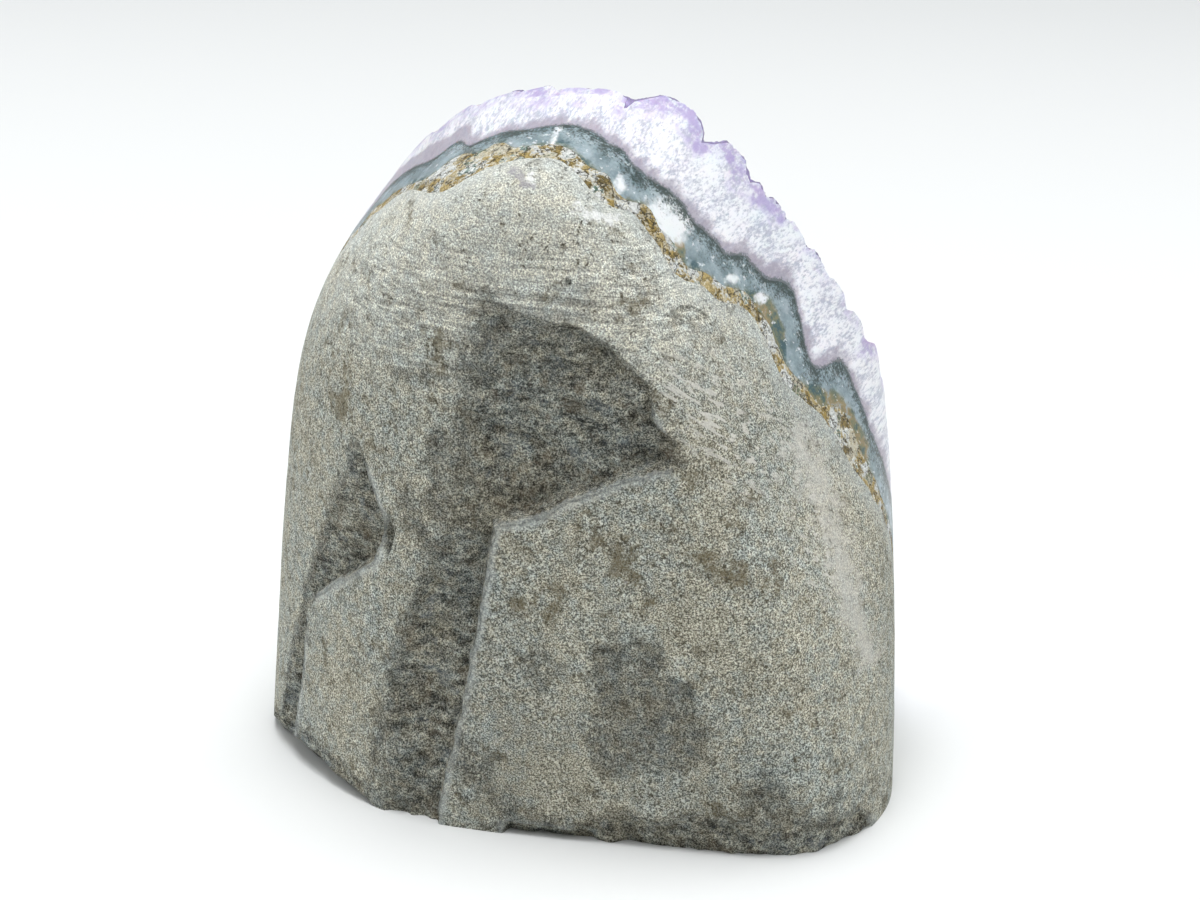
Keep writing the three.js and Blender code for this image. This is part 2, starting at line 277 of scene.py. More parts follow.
def reliefBody(name, us, vs, heights, toWorld):
    # a closed body: a fine relief over a flat grid, drawn together far outside the stone
    v, u = (grid.ravel() for grid in np.meshgrid(vs, us, indexing="ij"))
    local = np.stack([u, v, heights(u, v)], axis=1)
    local = np.vstack([local, [us.mean(), vs.mean(), farOutside]])
    points = local @ np.array(toWorld[:3], float) + np.array(toWorld[3], float)
    n, m = len(us), len(vs)
    j, i = (grid.ravel() for grid in np.meshgrid(np.arange(m - 1), np.arange(n - 1), indexing="ij"))
    a = j * n + i
    edge = np.array([*range(n), *range(2 * n - 1, n * m, n), *range(n * m - 2, n * (m - 1) - 1, -1),
                     *range(n * (m - 2), 0, -n)])
    faces = np.concatenate([
        np.stack([a, a + n + 1, a + 1], axis=1), np.stack([a, a + n, a + n + 1], axis=1),
        np.stack([edge, np.roll(edge, -1), np.full(len(edge), n * m)], axis=1),
    ])
    if np.linalg.det(np.array(toWorld[:3], float)) < 0:
        faces = faces[:, ::-1]
    return makeMesh(name, points / 1000, faces)


def inFrontOf(sheetY, depth=0):
    xs, zs = np.arange(*layerForm["columns"]), np.arange(*layerForm["rows"])
    return reliefBody("sheet", xs, zs, lambda x, z: sheetY(x, z) + depth,
                      [(1, 0, 0), (0, 0, 1), (0, 1, 0), (0, 0, 0)])


def facePlane(azimuth, elevation, distance):
    # the frame of a flat cut: side, up, outward, and its middle
    outward = facing(azimuth, elevation)
    side = np.cross(outward, [0.3, 1, 0.2])
    side /= np.linalg.norm(side)
    return [side, np.cross(outward, side), outward, core + distance * outward]


def envelope(inset=0):
    # the ground outside, cut flat at the base and broken along the toe
    reach = groundRadius(ballDirections)
    spots = core + ballDirections * reach[:, None]
    reach -= inset + sum(depth * (1 + patchy(spots, size, seed)) for depth, size, seed in stoneForm["dents"])
    body = makeMesh("envelope", (core + ballDirections * reach[:, None]) / 1000, ballFaces)
    wide, fine = np.arange(-160, 161, 80), np.arange(-45, 45.01, 0.9)
    base = reliefBody("base", wide, wide, lambda u, v: 0 * u, facePlane(0, -90, core[2]))
    combine(body, base, "DIFFERENCE")

    def broken(u, v):
        spots = np.stack([u, v, 0 * u], axis=1)
        return patches(spots, *stoneForm["toeRelief"])

    toe = reliefBody("toe", fine, fine, broken, facePlane(*stoneForm["brokenToe"]))
    return combine(body, toe, "DIFFERENCE")


# Scars of the basalt. Outlines are (across, height) square to the face; floors are planes
# (distance from the core, rise per mm across, rise per mm up), of which the outermost counts.
# A tone of 1 is a fresh dark break, and soft and fade are the mm over which its edge fades in.
scarForm = {
    "scars": [
        {"azimuth": 0, "steep": 2.6, "rough": 1.5, "bevel": 0.4, "fade": 4,
         "outline": [(17, 61.2), (7.7, 58), (-3.4, 52.4), (-11, 49.3), (-13.5, 35), (-30, 35), (-30, 90),
                     (-13, 86), (-7, 82.6), (1.6, 81), (7.3, 77.5), (11.3, 73.3), (13.2, 66.5), (17.2, 62.2)],
         "floors": [(21.4, -0.053, 0.078), (18.4, -0.4, 0.059), (21.1, 0.35, 0)]},
        {"azimuth": 0, "steep": 3.2, "rough": 1.5, "bevel": 0.3, "fade": 4,
         "outline": [(-11, 58), (-11, 49.3), (-13.5, 34.8), (-16.9, 18.1), (-21.2, -1), (-45, -1), (-45, 58)],
         "floors": [(26.8, 0, -0.02), (12.5, -0.34, 0.195)]},
        {"azimuth": -36.5, "steep": 2.6, "rough": 0.9, "bevel": 0.5,
         "outline": [(-15, 60), (-8.1, 47.8), (-10.2, 40), (-18.7, 35.1), (-28.2, 27.7), (-30.6, 10.7),
                     (-33, 3), (-42, 3), (-42, 30), (-30, 50), (-22, 64)],
         "floors": [(26.4, -0.315, 0.124), (38.2, 0, -0.07)]},
        # ledges broken off along the foot
        {"azimuth": 12, "steep": 2, "rough": 1.4, "bevel": 0.5, "soft": 1.2, "ragged": 2,
         "undercut": (6.5, 2),
         "outline": [(-16, -2), (40, -2), (38, 4), (29, 6), (21, 4.5), (13, 7), (7, 4.5), (2, 5.5), (-7, 2.5),
                     (-16, 2.5)]},
        # a deep nick beside the gouge, with a smooth flake next to it
        {"azimuth": -36.5, "steep": 2.2, "rough": 0.2, "ragged": 0.1, "shallow": 1.8, "step": 0.2,
         "tone": 0.8, "outline": [(-7.6, 49.2), (-6.2, 46.3), (-7.4, 42.2), (-9, 45.5)]},
        {"azimuth": -36.5, "steep": 0.5, "rough": 0.15, "ragged": 0.2, "shallow": 0.7, "step": 0.25,
         "tone": 0.3,
         "outline": [(-10.8, 49), (-9.6, 47.6), (-8.3, 43.9), (-9.3, 40.6), (-10.6, 40.8), (-12, 44.4)]},
        # shallow rough patches near the foot
        {"azimuth": 0, "steep": 0.8, "rough": 0.8, "ragged": 2.6, "shallow": 0.25, "tone": 0.85, "soft": 2,
         "outline": [(4.3, 31.9), (10.7, 35), (14, 32), (13, 28.8), (18.2, 27), (20.5, 23), (20.5, 16.6),
                     (17, 13.5), (11, 14), (4.8, 11.7), (3, 17.3), (4.6, 24)]},
        {"azimuth": 0, "steep": 0.8, "rough": 0.7, "ragged": 1.8, "shallow": 0.1, "tone": 0.7, "soft": 1.4,
         "outline": [(-7, 31), (-4.3, 32.2), (-1.6, 29), (-3, 26), (-6, 27.4)]},
        {"azimuth": 20, "steep": 0.9, "rough": 0.8, "ragged": 2.2, "shallow": 0.35, "tone": 0.8, "soft": 2,
         "outline": [(16, 4), (14.6, 11), (19, 15.4), (22.5, 11), (24, 4)]},
        # a flattened amygdule and an open pore
        {"azimuth": 40, "steep": 1.2, "rough": 0.3, "ragged": 0.5, "shallow": 0.5, "step": 0.2, "tone": 0.35,
         "outline": [(-4, 82), (-1.5, 82.8), (1.5, 82), (4, 80), (2, 79.2), (-1, 79.3), (-3.4, 80.6)]},
        {"azimuth": 0, "steep": 1.5, "rough": 0.1, "ragged": 0.2, "shallow": 0.5, "step": 0.15, "tone": 0.7,
         "outline": [(-0.8, 87.6), (0.1, 87.8), (0.4, 87), (-0.4, 86.6)]},
    ],
    # what a scar has where it says nothing else, and the size of the grid around it
    "usual": {"ragged": 1, "shallow": 999, "bevel": 0, "soft": 0.35, "fade": 1.8, "tone": 1, "step": 0.42,
              "floors": []},
    "seed": 50, "margin": 3, "widest": 52, "lowest": -2,
}
scars = [{**scarForm["usual"], **scar} for scar in scarForm["scars"]]


def outwardReach(azimuth, u, v):
    # where the ground outside lies, for each spot (across, height) of a face
    outward = facing(azimuth, 0)
    side = np.cross([0, 0, 1], outward)
    base = u[:, None] * side + (v - core[2])[:, None] * np.array([0, 0, 1.0])

    def inside(w):
        return facetSum(base + w[:, None] * outward) < 1

    low = np.full(len(u), -999.0)
    for w in np.arange(-30, 60, 3):
        low = np.where(inside(np.full(len(u), float(w))), w, low)
    found = low > -900
    low = np.where(found, low, 0)
    high = low + 3
    for _ in range(9):
        middle = (low + high) / 2
        within = inside(middle)
        low, high = np.where(within, middle, low), np.where(within, high, middle)
    return low, found


def insideBy(outline, u, v):
    # distance inside an outline, below zero outside it
    nearest = np.full(len(u), 1e9)
    within = np.zeros(len(u), bool)
    for (ax, ay), (bx, by) in zip(outline, outline[1:] + outline[:1]):
        dx, dy = bx - ax, by - ay
        share = np.clip(((u - ax) * dx + (v - ay) * dy) / (dx * dx + dy * dy), 0, 1)
        nearest = np.minimum(nearest, np.hypot(u - ax - share * dx, v - ay - share * dy))
        if ay != by:
            within ^= ((ay > v) != (by > v)) & (u < dx * (v - ay) / dy + ax)
    return np.where(within, nearest, -nearest)


def scarAxes(scar):
    outward = facing(scar["azimuth"], 0)
    return np.cross([0, 0, 1], outward), outward


def scarEdge(scar, seed, u, v):
    # distance inside the outline, with its edge broken up
    spots = np.stack([u, v, 0 * u + 3.3], axis=1)
    uneven = patches(spots, (0.4, 2.2, seed + 5), (0.3, 5, seed + 6))
    return insideBy(scar["outline"], u, v) + scar["ragged"] * uneven


def scarFloor(scar, u, v, reach):
    floor = reach - scar["shallow"]
    if "undercut" in scar:
        height, depth = scar["undercut"]
        floor = reach - depth * np.clip(1 - v / height, 0, 1.4)
    for distance, riseAcross, riseUp in scar["floors"]:
        floor = np.maximum(floor, distance + riseAcross * u + riseUp * v)
    return floor


def scarTool(scar, seed):
    side, outward = scarAxes(scar)
    across, height = zip(*scar["outline"])
    margin, widest, lowest = (scarForm[name] for name in ("margin", "widest", "lowest"))
    us = np.arange(max(min(across), -widest) - margin, min(max(across), widest) + margin, scar["step"])
    vs = np.arange(max(min(height), lowest) - margin, max(height) + margin, scar["step"])

    def floor(u, v):
        spots = np.stack([u, v, 0 * u + 3.3], axis=1)
        reach, found = outwardReach(scar["azimuth"], u, v)
        hackly = patches(spots, (0.5, 7, seed), (0.36, 3.1, seed + 1), (0.2, 1.5, seed + 2),
                         (0.12, 0.8, seed + 3))
        slanted = spots @ np.array([[0.6, 0.9, 0], [-0.6, 0.9, 0], [0, 0, 1]])
        ridges = (np.abs(patchy(slanted, size, seed + extra)) for size, extra in ((5, 4), (2.1, 9)))
        steps = 0.5 * sum(ridges) - 0.3
        edge = scarEdge(scar, seed, u, v)
        bevel = scar["bevel"] * (0.8 + patchy(spots, 4.5, seed + 8))
        fall = scar["steep"] * edge - (scar["steep"] - 0.45) * np.clip(edge, 0, np.maximum(bevel, 0))
        rim = np.where(found, reach - fall, np.where(edge > 0, -99, 60))
        broken = scarFloor(scar, u, v, reach) + scar["rough"] * (hackly - steps)
        return np.maximum(broken, rim + 0.12 * patchy(spots, 0.9, seed + 7))

    return reliefBody("scar", us, vs, floor, [side, (0, 0, 1), outward, core * [1, 1, 0]])


def scarTones(spots):
    # how dark and fresh the stone is at each spot, and where a break has a pale edge, partly worn and partly
    # a painted highlight
    tone, pale = np.zeros(len(spots)), np.zeros(len(spots))
    for number, scar in enumerate(scars):
        side, outward = scarAxes(scar)
        us, vs = (spots - core) @ side, spots[:, 2]
        (left, right), (low, high) = ((min(ends) - 5, max(ends) + 5) for ends in zip(*scar["outline"]))
        near = (us > left) & (us < right) & (vs > low) & (vs < high) & ((spots - core) @ outward > 8)
        u, v = us[near], vs[near]
        edge = scarEdge(scar, scarForm["seed"] + 10 * number, u, v)
        reach, _ = outwardReach(scar["azimuth"], u, v)
        depth = reach - scarFloor(scar, u, v, reach)
        share = 0.5 + np.minimum(edge / (2 * scar["soft"]), depth / scar["fade"])
        tone[near] = np.maximum(tone[near], np.clip(share, 0, 1) * scar["tone"])
        # a pale strip along the edge of a break: partly worn, partly a painted highlight
        bevel = scar["bevel"]
        if bevel:
            worn = smooth(-2.2, 0, edge) * (1 - smooth(bevel, bevel + 0.5, edge)) * smooth(0.7, 1.6, depth)
            pale[near] = np.maximum(pale[near], worn)
    return tone, pale * (1 - smooth(0.7, 1.1, depthInStone(spots)))


def seeded(seed):
    # a repeatable stream of numbers from 0 to 1
    state = seed

    def draw():
        nonlocal state
        state = (state + 0x6D2B79F5) & 0xFFFFFFFF
        mixed = ((state ^ (state >> 15)) * (1 | state)) & 0xFFFFFFFF
        mixed = ((mixed + (((mixed ^ (mixed >> 7)) * (61 | mixed)) & 0xFFFFFFFF)) ^ mixed) & 0xFFFFFFFF
        return ((mixed ^ (mixed >> 14)) & 0xFFFFFFFF) / 4294967296

    return draw


crystalForm = {
    # crystals along the ground rim: across, height of the root, half width, depth of the worn top
    "rim": [
        (-34, 91, 6, 22.9), (-27.5, 96.5, 6, 23.8), (-21, 100.5, 6, 23.8), (-14.5, 103, 6, 23.9),
        (-9, 104, 4.6, 23.4), (-4, 104.3, 5, 23.6), (6.3, 101.3, 5.8, 25.6), (15.3, 95, 4.6, 24.3),
        (19.6, 90, 2.6, 22.6), (22, 87, 3.6, 23), (25, 82.5, 3.8, 22.7), (28, 78, 4.2, 22.4),
        (31, 73.5, 4.4, 22), (33.8, 68, 4.4, 21.6), (36.5, 61.5, 4, 23), (38.5, 54, 5, 22.5),
        (40, 45, 5.5, 22),
    ],
    "rimWear": 0.75, "topSlope": 0.2, "rimTilt": 4,
    # crystals of the front: how far apart, how far off the rows, half width, and more small than large
    "spacing": 14.2, "rows": 10, "columns": 4, "jitter": 0.5, "halfWidth": (6.8, 9.8), "manySmall": 1.6,
    "root": 12, "frontTilt": 14, "tipDepth": 25.7, "tipSpread": 3.4, "tipGain": 0.5, "seed": 7,
    # how far the six sides stand out, and how far each tip face lies below the tip
    "sides": (0.88, 0.24), "tips": (0.1, 0.12), "tipFaceAngle": 51.8,
    # size of the small faces, share of them kept, rounds of wear, and how deep the wear reaches
    "facet": 0.48, "facesKept": 0.54, "wearing": 4, "wornDepth": (1.5, 6),
    # how far the wear evens a face, lifts the lumps, and keeps within the ground rim
    "evened": 0.6, "lifted": 0.2, "within": 0.25,
    # clear crystal over the milky quartz: at the rim, inside, and as a share of what stands out
    "cap": (0.35, 1.6, 0.42), "leastMilky": 2, "inset": 0.3,
}


def crystalPlanes(draw, halfWidth):
    # side and tip planes: how far each stands from the axis and below the tip
    planes = []
    least, spread = crystalForm["sides"]
    second, uneven = crystalForm["tips"]
    for side in range(6):
        reach = halfWidth * (least + spread * draw())
        shortfall = (side % 2) * second * halfWidth + uneven * halfWidth * draw()
        planes.append((side * math.pi / 3, reach, shortfall))
    return planes


def crystalSides(crystal):
    # the planes a crystal lies behind, as outward directions and distances from its root
    tilt = math.radians(crystalForm["tipFaceAngle"])
    height = crystal["height"]
    tipDistance = (height + crystal["worn"]) * math.cos(tilt)
    normals, offsets = [(0, 0, -1)], [0]
    for turn, reach, shortfall in crystal["planes"]:
        normals.append((math.cos(turn), math.sin(turn), 0))
        offsets.append(reach)
        normals.append((*(part * math.sin(tilt) for part in normals[-1][:2]), math.cos(tilt)))
        offsets.append(tipDistance - shortfall)
    if crystal["worn"]:
        top = Vector((*crystal["slope"], 1 / crystalForm["topSlope"])).normalized()
        normals.append(tuple(top))
        offsets.append(height * top.z)
    return np.array(normals), np.array(offsets)


def crystalBody(crystal):
    normals, offsets = crystalSides(crystal)
    picks = np.array(list(itertools.combinations(range(len(normals)), 3)))
    sets = normals[picks]
    good = np.abs(np.linalg.det(sets)) > 1e-3
    found = np.linalg.solve(sets[good], offsets[picks[good]][:, :, None])[:, :, 0]
    corners = found[((found @ normals.T - offsets) < 1e-4).all(axis=1)]
    shape = bmesh.new()
    for corner in (corners @ crystal["turned"].T + crystal["root"]) / 1000:
        shape.verts.new(corner)
    bmesh.ops.remove_doubles(shape, verts=shape.verts, dist=2e-6)
    made = bmesh.ops.convex_hull(shape, input=shape.verts)
    spare = [e for e in made["geom_interior"] + made["geom_unused"] if isinstance(e, bmesh.types.BMVert)]
    bmesh.ops.delete(shape, geom=spare, context="VERTS")
    mesh = bpy.data.meshes.new("crystal")
    shape.to_mesh(mesh)
    shape.free()
    thing = bpy.data.objects.new("crystal", mesh)
    bpy.context.scene.collection.objects.link(thing)
    return thing


def crystalFrontY(grown, x, z):
    # how far forward the crystals reach over each spot
    front = np.full(len(x), -999.0)
    for crystal in grown:
        normals, offsets = crystalSides(crystal)
        normals = normals @ crystal["turned"].T
        offsets = offsets + normals @ crystal["root"]
        ends = (offsets[:, None] - normals[:, :1] * x - normals[:, 2:] * z) / normals[:, 1:2]
        ahead = normals[:, 1] > 0
        far, near = ends[ahead].min(axis=0), ends[~ahead].max(axis=0)
        front = np.where(far > near, np.maximum(front, far), front)
    return front


def ontoFaces(grown, spots):
    # the move that sets each spot flat on the nearest face of the crystals
    nearest = np.full(len(spots), np.inf)
    move = np.zeros_like(spots)
    for crystal in grown:
        normals, offsets = crystalSides(crystal)
        normals = normals @ crystal["turned"].T
        beyond = spots @ normals.T - offsets - normals @ crystal["root"]
        face = beyond.argmax(axis=1)
        reach = beyond.max(axis=1)
        closer = reach < nearest
        nearest[closer] = reach[closer]
        move[closer] = -reach[closer, None] * normals[face[closer]]
    move[np.abs(nearest) > 2 * crystalForm["facet"]] = 0
    return move


def growCrystals():
    # the same crystals as in the solid, in the same order of draws
    form = crystalForm
    draw = seeded(form["seed"])
    grown = []

    def grow(tilt, wear, across, height, halfWidth, depth):
        planes = crystalPlanes(draw, halfWidth)
        slope = (2 * draw() - 1, 2 * draw() - 1) if wear else None
        turn = draw() * math.pi
        lean = math.tan(math.radians(tilt))
        axis = Vector((layerForm["turn"], 1, layerForm["lean"])).normalized()
        axis.x += lean * (2 * draw() - 1)
        axis.z += lean * (2 * draw() - 1)
        axis.normalize()
        x = core[0] + across
        turned = Vector((0, 0, 1)).rotation_difference(axis).to_matrix() @ Matrix.Rotation(turn, 3, "Z")
        grown.append({
            "planes": planes, "turned": np.array(turned), "worn": wear * halfWidth, "slope": slope,
            "root": np.array([x, sweepY(x, height) + form["root"], height]), "height": depth - form["root"],
        })

    for across, height, halfWidth, depth in form["rim"]:
        grow(form["rimTilt"], form["rimWear"], across, height, halfWidth, depth)
    least, most = form["halfWidth"]
    spacing, jitter = form["spacing"], form["jitter"]
    for row in range(form["rows"]):
        for column in range(-form["columns"], form["columns"] + 1):
            across = (column + (row % 2) / 2 + jitter * (draw() - 0.5)) * spacing
            height = row * spacing * math.sqrt(0.75) + jitter * (draw() - 0.5) * spacing
            halfWidth = least + (most - least) * draw() ** form["manySmall"]
            depth = form["tipDepth"] - form["tipSpread"] * draw() + form["tipGain"] * (halfWidth - least)
            if all(math.hypot(a - across, h - height) > w for a, h, w, _ in form["rim"]):
                grow(form["frontTilt"], 0, across, height, halfWidth, depth)
    return grown


def joined(bodies):
    while len(bodies) > 1:
        bodies = [combine(*pair, "UNION") if len(pair) == 2 else pair[0]
                  for pair in (bodies[i:i + 2] for i in range(0, len(bodies), 2))]
    return bodies[0]


def places(thing):
    # the corners of a mesh in millimetres
    flat = np.empty(len(thing.data.vertices) * 3)
    thing.data.vertices.foreach_get("co", flat)
    return flat.reshape(-1, 3) * 1000


def keepValues(thing, **values):
    # what the material reads at each corner of the mesh
    for name, value in values.items():
        kind = "FLOAT" if value.ndim == 1 else "FLOAT_VECTOR"
        store = thing.data.attributes.new(name, kind, "POINT")
        store.data.foreach_set("value" if value.ndim == 1 else "vector", value.astype(np.float32).ravel())


def cleaned(mesh):
    # one closed skin: no folds and no chips apart from the body
    leastFaces, closest = 200, 2e-6
    shape = bmesh.new()
    shape.from_mesh(mesh)
    for _ in range(3):
        bmesh.ops.triangulate(shape, faces=shape.faces)
        bmesh.ops.remove_doubles(shape, verts=shape.verts, dist=closest)
        bmesh.ops.dissolve_degenerate(shape, edges=shape.edges, dist=closest)
    bmesh.ops.triangulate(shape, faces=shape.faces)
    # a fold is a pair of faces on the same corners
    pairs = {}
    for face in shape.faces:
        pairs.setdefault(frozenset(face.verts), []).append(face)
    folds = [face for pair in pairs.values() if len(pair) > 1 for face in pair]
    bmesh.ops.delete(shape, geom=folds, context="FACES")
    left, spare = set(shape.faces), []
    while left:
        island = [left.pop()]
        for face in island:
            near = {other for edge in face.edges for other in edge.link_faces} & left
            left -= near
            island += near
        if len(island) < leastFaces:
            spare += island
    bmesh.ops.delete(shape, geom=spare, context="FACES")
    shape.to_mesh(mesh)
    shape.free()


def dress(thing, name, node, material, sharpAngle):
    # names a finished piece, keeps it inside the solid's box, puts it under the root body and hides the part
    # it stands for
    thing.name = thing.data.name = name
    cleaned(thing.data)
    spots = np.clip(places(thing) / 1000, np.array(cadBox[0]), np.array(cadBox[1]))
    thing.data.vertices.foreach_set("co", spots.astype(np.float32).ravel())
    thing.data.materials.clear()
    thing.data.materials.append(material)
    thing.data.shade_smooth()
    thing.data.set_sharp_from_angle(angle=math.radians(sharpAngle))
    thing.data.update()
    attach(thing, "root")
    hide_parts(node)
    print(name, len(thing.data.polygons), "faces")


def linear(hexColour):
    parts = [int(hexColour[i:i + 2], 16) / 255 for i in (1, 3, 5)]
    return (*(p / 12.92 if p <= 0.04045 else ((p + 0.055) / 1.055) ** 2.4 for p in parts), 1)


def addNode(tree, label, kind, settings, links=None):
    # adds one node: its properties, colour stops, range and free sockets, then links from "label.socket"
    made = tree.nodes.new("ShaderNode" + kind)
    made.name = made.label = label

    def socketOf(sockets, name):
        if isinstance(name, int):
            return sockets[name]
        return next(s for s in sockets if s.enabled and name in ("", s.name))

    for name, value in settings.items():
        if name == "stops":
            ramp = made.color_ramp.elements
            while len(ramp) < len(value):
                ramp.new(0.5)
            for stop, (position, colour) in zip(ramp, value):
                stop.position, stop.color = position, linear(colour)
        elif name == "range":
            for limit, amount in zip(("From Min", "From Max", "To Min", "To Max"), value):
                socketOf(made.inputs, limit).default_value = amount
        elif isinstance(name, str) and hasattr(made, name):
            setattr(made, name, value)
        else:
            socketOf(made.inputs, name).default_value = linear(value) if isinstance(value, str) else value
    for name, source in (links or {}).items():
        label, _, socket = source.partition(".")
        tree.links.new(socketOf(tree.nodes[label].outputs, socket), socketOf(made.inputs, name))


def newMaterial(name, noises, values, rows):
    # noises: label, size in mm, detail, roughness, turn and stretch; values: attributes of the mesh
    material = bpy.data.materials.new(name)
    material.use_nodes = True
    tree = material.node_tree
    tree.nodes.clear()
    addNode(tree, "place", "TexCoord", {})
    for label, size, detail, rough, turn, stretch in noises:
        spread = tuple(1 / share for share in stretch)
        addNode(tree, label + "Place", "Mapping",
                {"vector_type": "TEXTURE", "Rotation": turn, "Scale": spread}, {"Vector": "place.Object"})
        addNode(tree, label, "TexNoise", {"Scale": 1000 / size, "Detail": detail, "Roughness": rough},
                {"Vector": label + "Place"})
    for label in values:
        addNode(tree, label, "Attribute", {"attribute_name": label})
    for row in rows:
        addNode(tree, *row)
    return material


even = ((0, 0, 0), (1, 1, 1))
colourMix = {"data_type": "RGBA"}
soft = {"interpolation_type": "SMOOTHSTEP"}
fused = {"operation": "MULTIPLY_ADD"}


def laid(name, colour, under, source, start, full, most=1.0):
    # lays a colour over what is under it, from where a value starts to count to where it does in full
    return [
        (name + "Share", "MapRange", {**soft, "range": (start, full, 0, most)}, {"Value": source}),
        (name + "Tone", "Mix", {**colourMix, "B": colour}, {"Factor": name + "Share", "A": under}),
    ]


# Basalt, ground on a belt and broken in places: a dull grey rock with grains that just show,
# brown iron stains with open pores, and darker hackly breaks.
basaltLook = {
    "light": "#d8dad4", "mid": "#a4a69f", "dark": "#5e5f5a", "warm": "#aca189", "cool": "#929d9f",
    "shade": (0.86, 1.44), "breakShade": 0.8, "stain": "#70664a", "pore": "#4c4635", "rust": "#94836a",
    # paleEdge is the paler ground by the wall and the pale edges of breaks, these partly a painted highlight
    # worn is the colour of the scratches and of a painted highlight along the ridge on the right
    "slate": "#828e98", "fleck": "#cfc8b4", "bleached": "#d3d5d2", "paleEdge": "#ccd3d2", "worn": "#d6d4cc",
    "chalk": "#f0f2f1", "mauve": "#96939c",
    # sizes in mm, with the grains and belt marks as large as the real ones
    "grainSize": 0.25, "hueSize": 1.9, "mottleSize": 1.5, "cloudSize": 13, "stainSize": 3.6, "poreSize": 0.55,
    "beltSize": 0.7, "scratchSize": 0.5, "streakSize": 1.4, "rustSize": 3.2, "reliefSize": 1.1,
    "roughness": 0.78, "breakRoughness": 0.92, "bump": 0.00016,
    # where the ground outside differs, as lines (from, to, reach) seen from behind
    "zones": {
        "stained": [(-8, 38.6, -3, 37.5, 4.5), (7.7, 48, 10.7, 42, 4), (19.4, 47.3, 27.7, 42.6, 3),
                    (4, 85, 10, 84, 3), (12.3, 71.4, 14, 70, 2.5), (-37, 74, -38, 62, 4),
                    (-21, 78.5, -19, 72, 3), (6, 2, 26, 8, 3)],
        # a painted highlight along the ridge between two ground faces on the right
        "worn": [(29.5, 61, 34, 51, 3.2), (34, 51, 38.5, 36.4, 3), (38.5, 36.4, 41.6, 26.2, 2.2)],
        # painted shade: darker low on the face and on the right
        "dulled": [(15, 73, 27, 60, 9), (-12, 32, -6, 10, 15), (8, 22, 28, 6, 13)],
        "browned": [(12, 40, 20, 38, 9), (-37, 22, -37, 10, 10), (10, 24, 14, 22, 6)],
        "scratched": [(15, 73, 26, 60, 7), (30, 60, 36, 40, 4)],
        "belted": [(-32, 80, 12, 86, 16)],
        "whitened": [(0, 96.9, 5, 94.9, 1.6), (-7.2, 101, -6.4, 100.4, 1.2)],
        "mauved": [(-10.5, 101.3, -8.3, 100.9, 0.9), (-8, 100, -6.4, 99.8, 0.6)],
        # dark patches: by the breaks the stone's own, along the foot and low on the left painted shade
        "bruised": [(-20, 62, -20, 48, 4.5), (-5.6, 28.5, -4.5, 25, 2.4), (-25.5, 52, -21, 45, 3.5),
                    (-7, -2, 38, 4, 9), (-27, 71, -19, 72, 2), (-9, 2, -22, 20, 5), (-30, 16, -33, 2, 3)],
    },
}


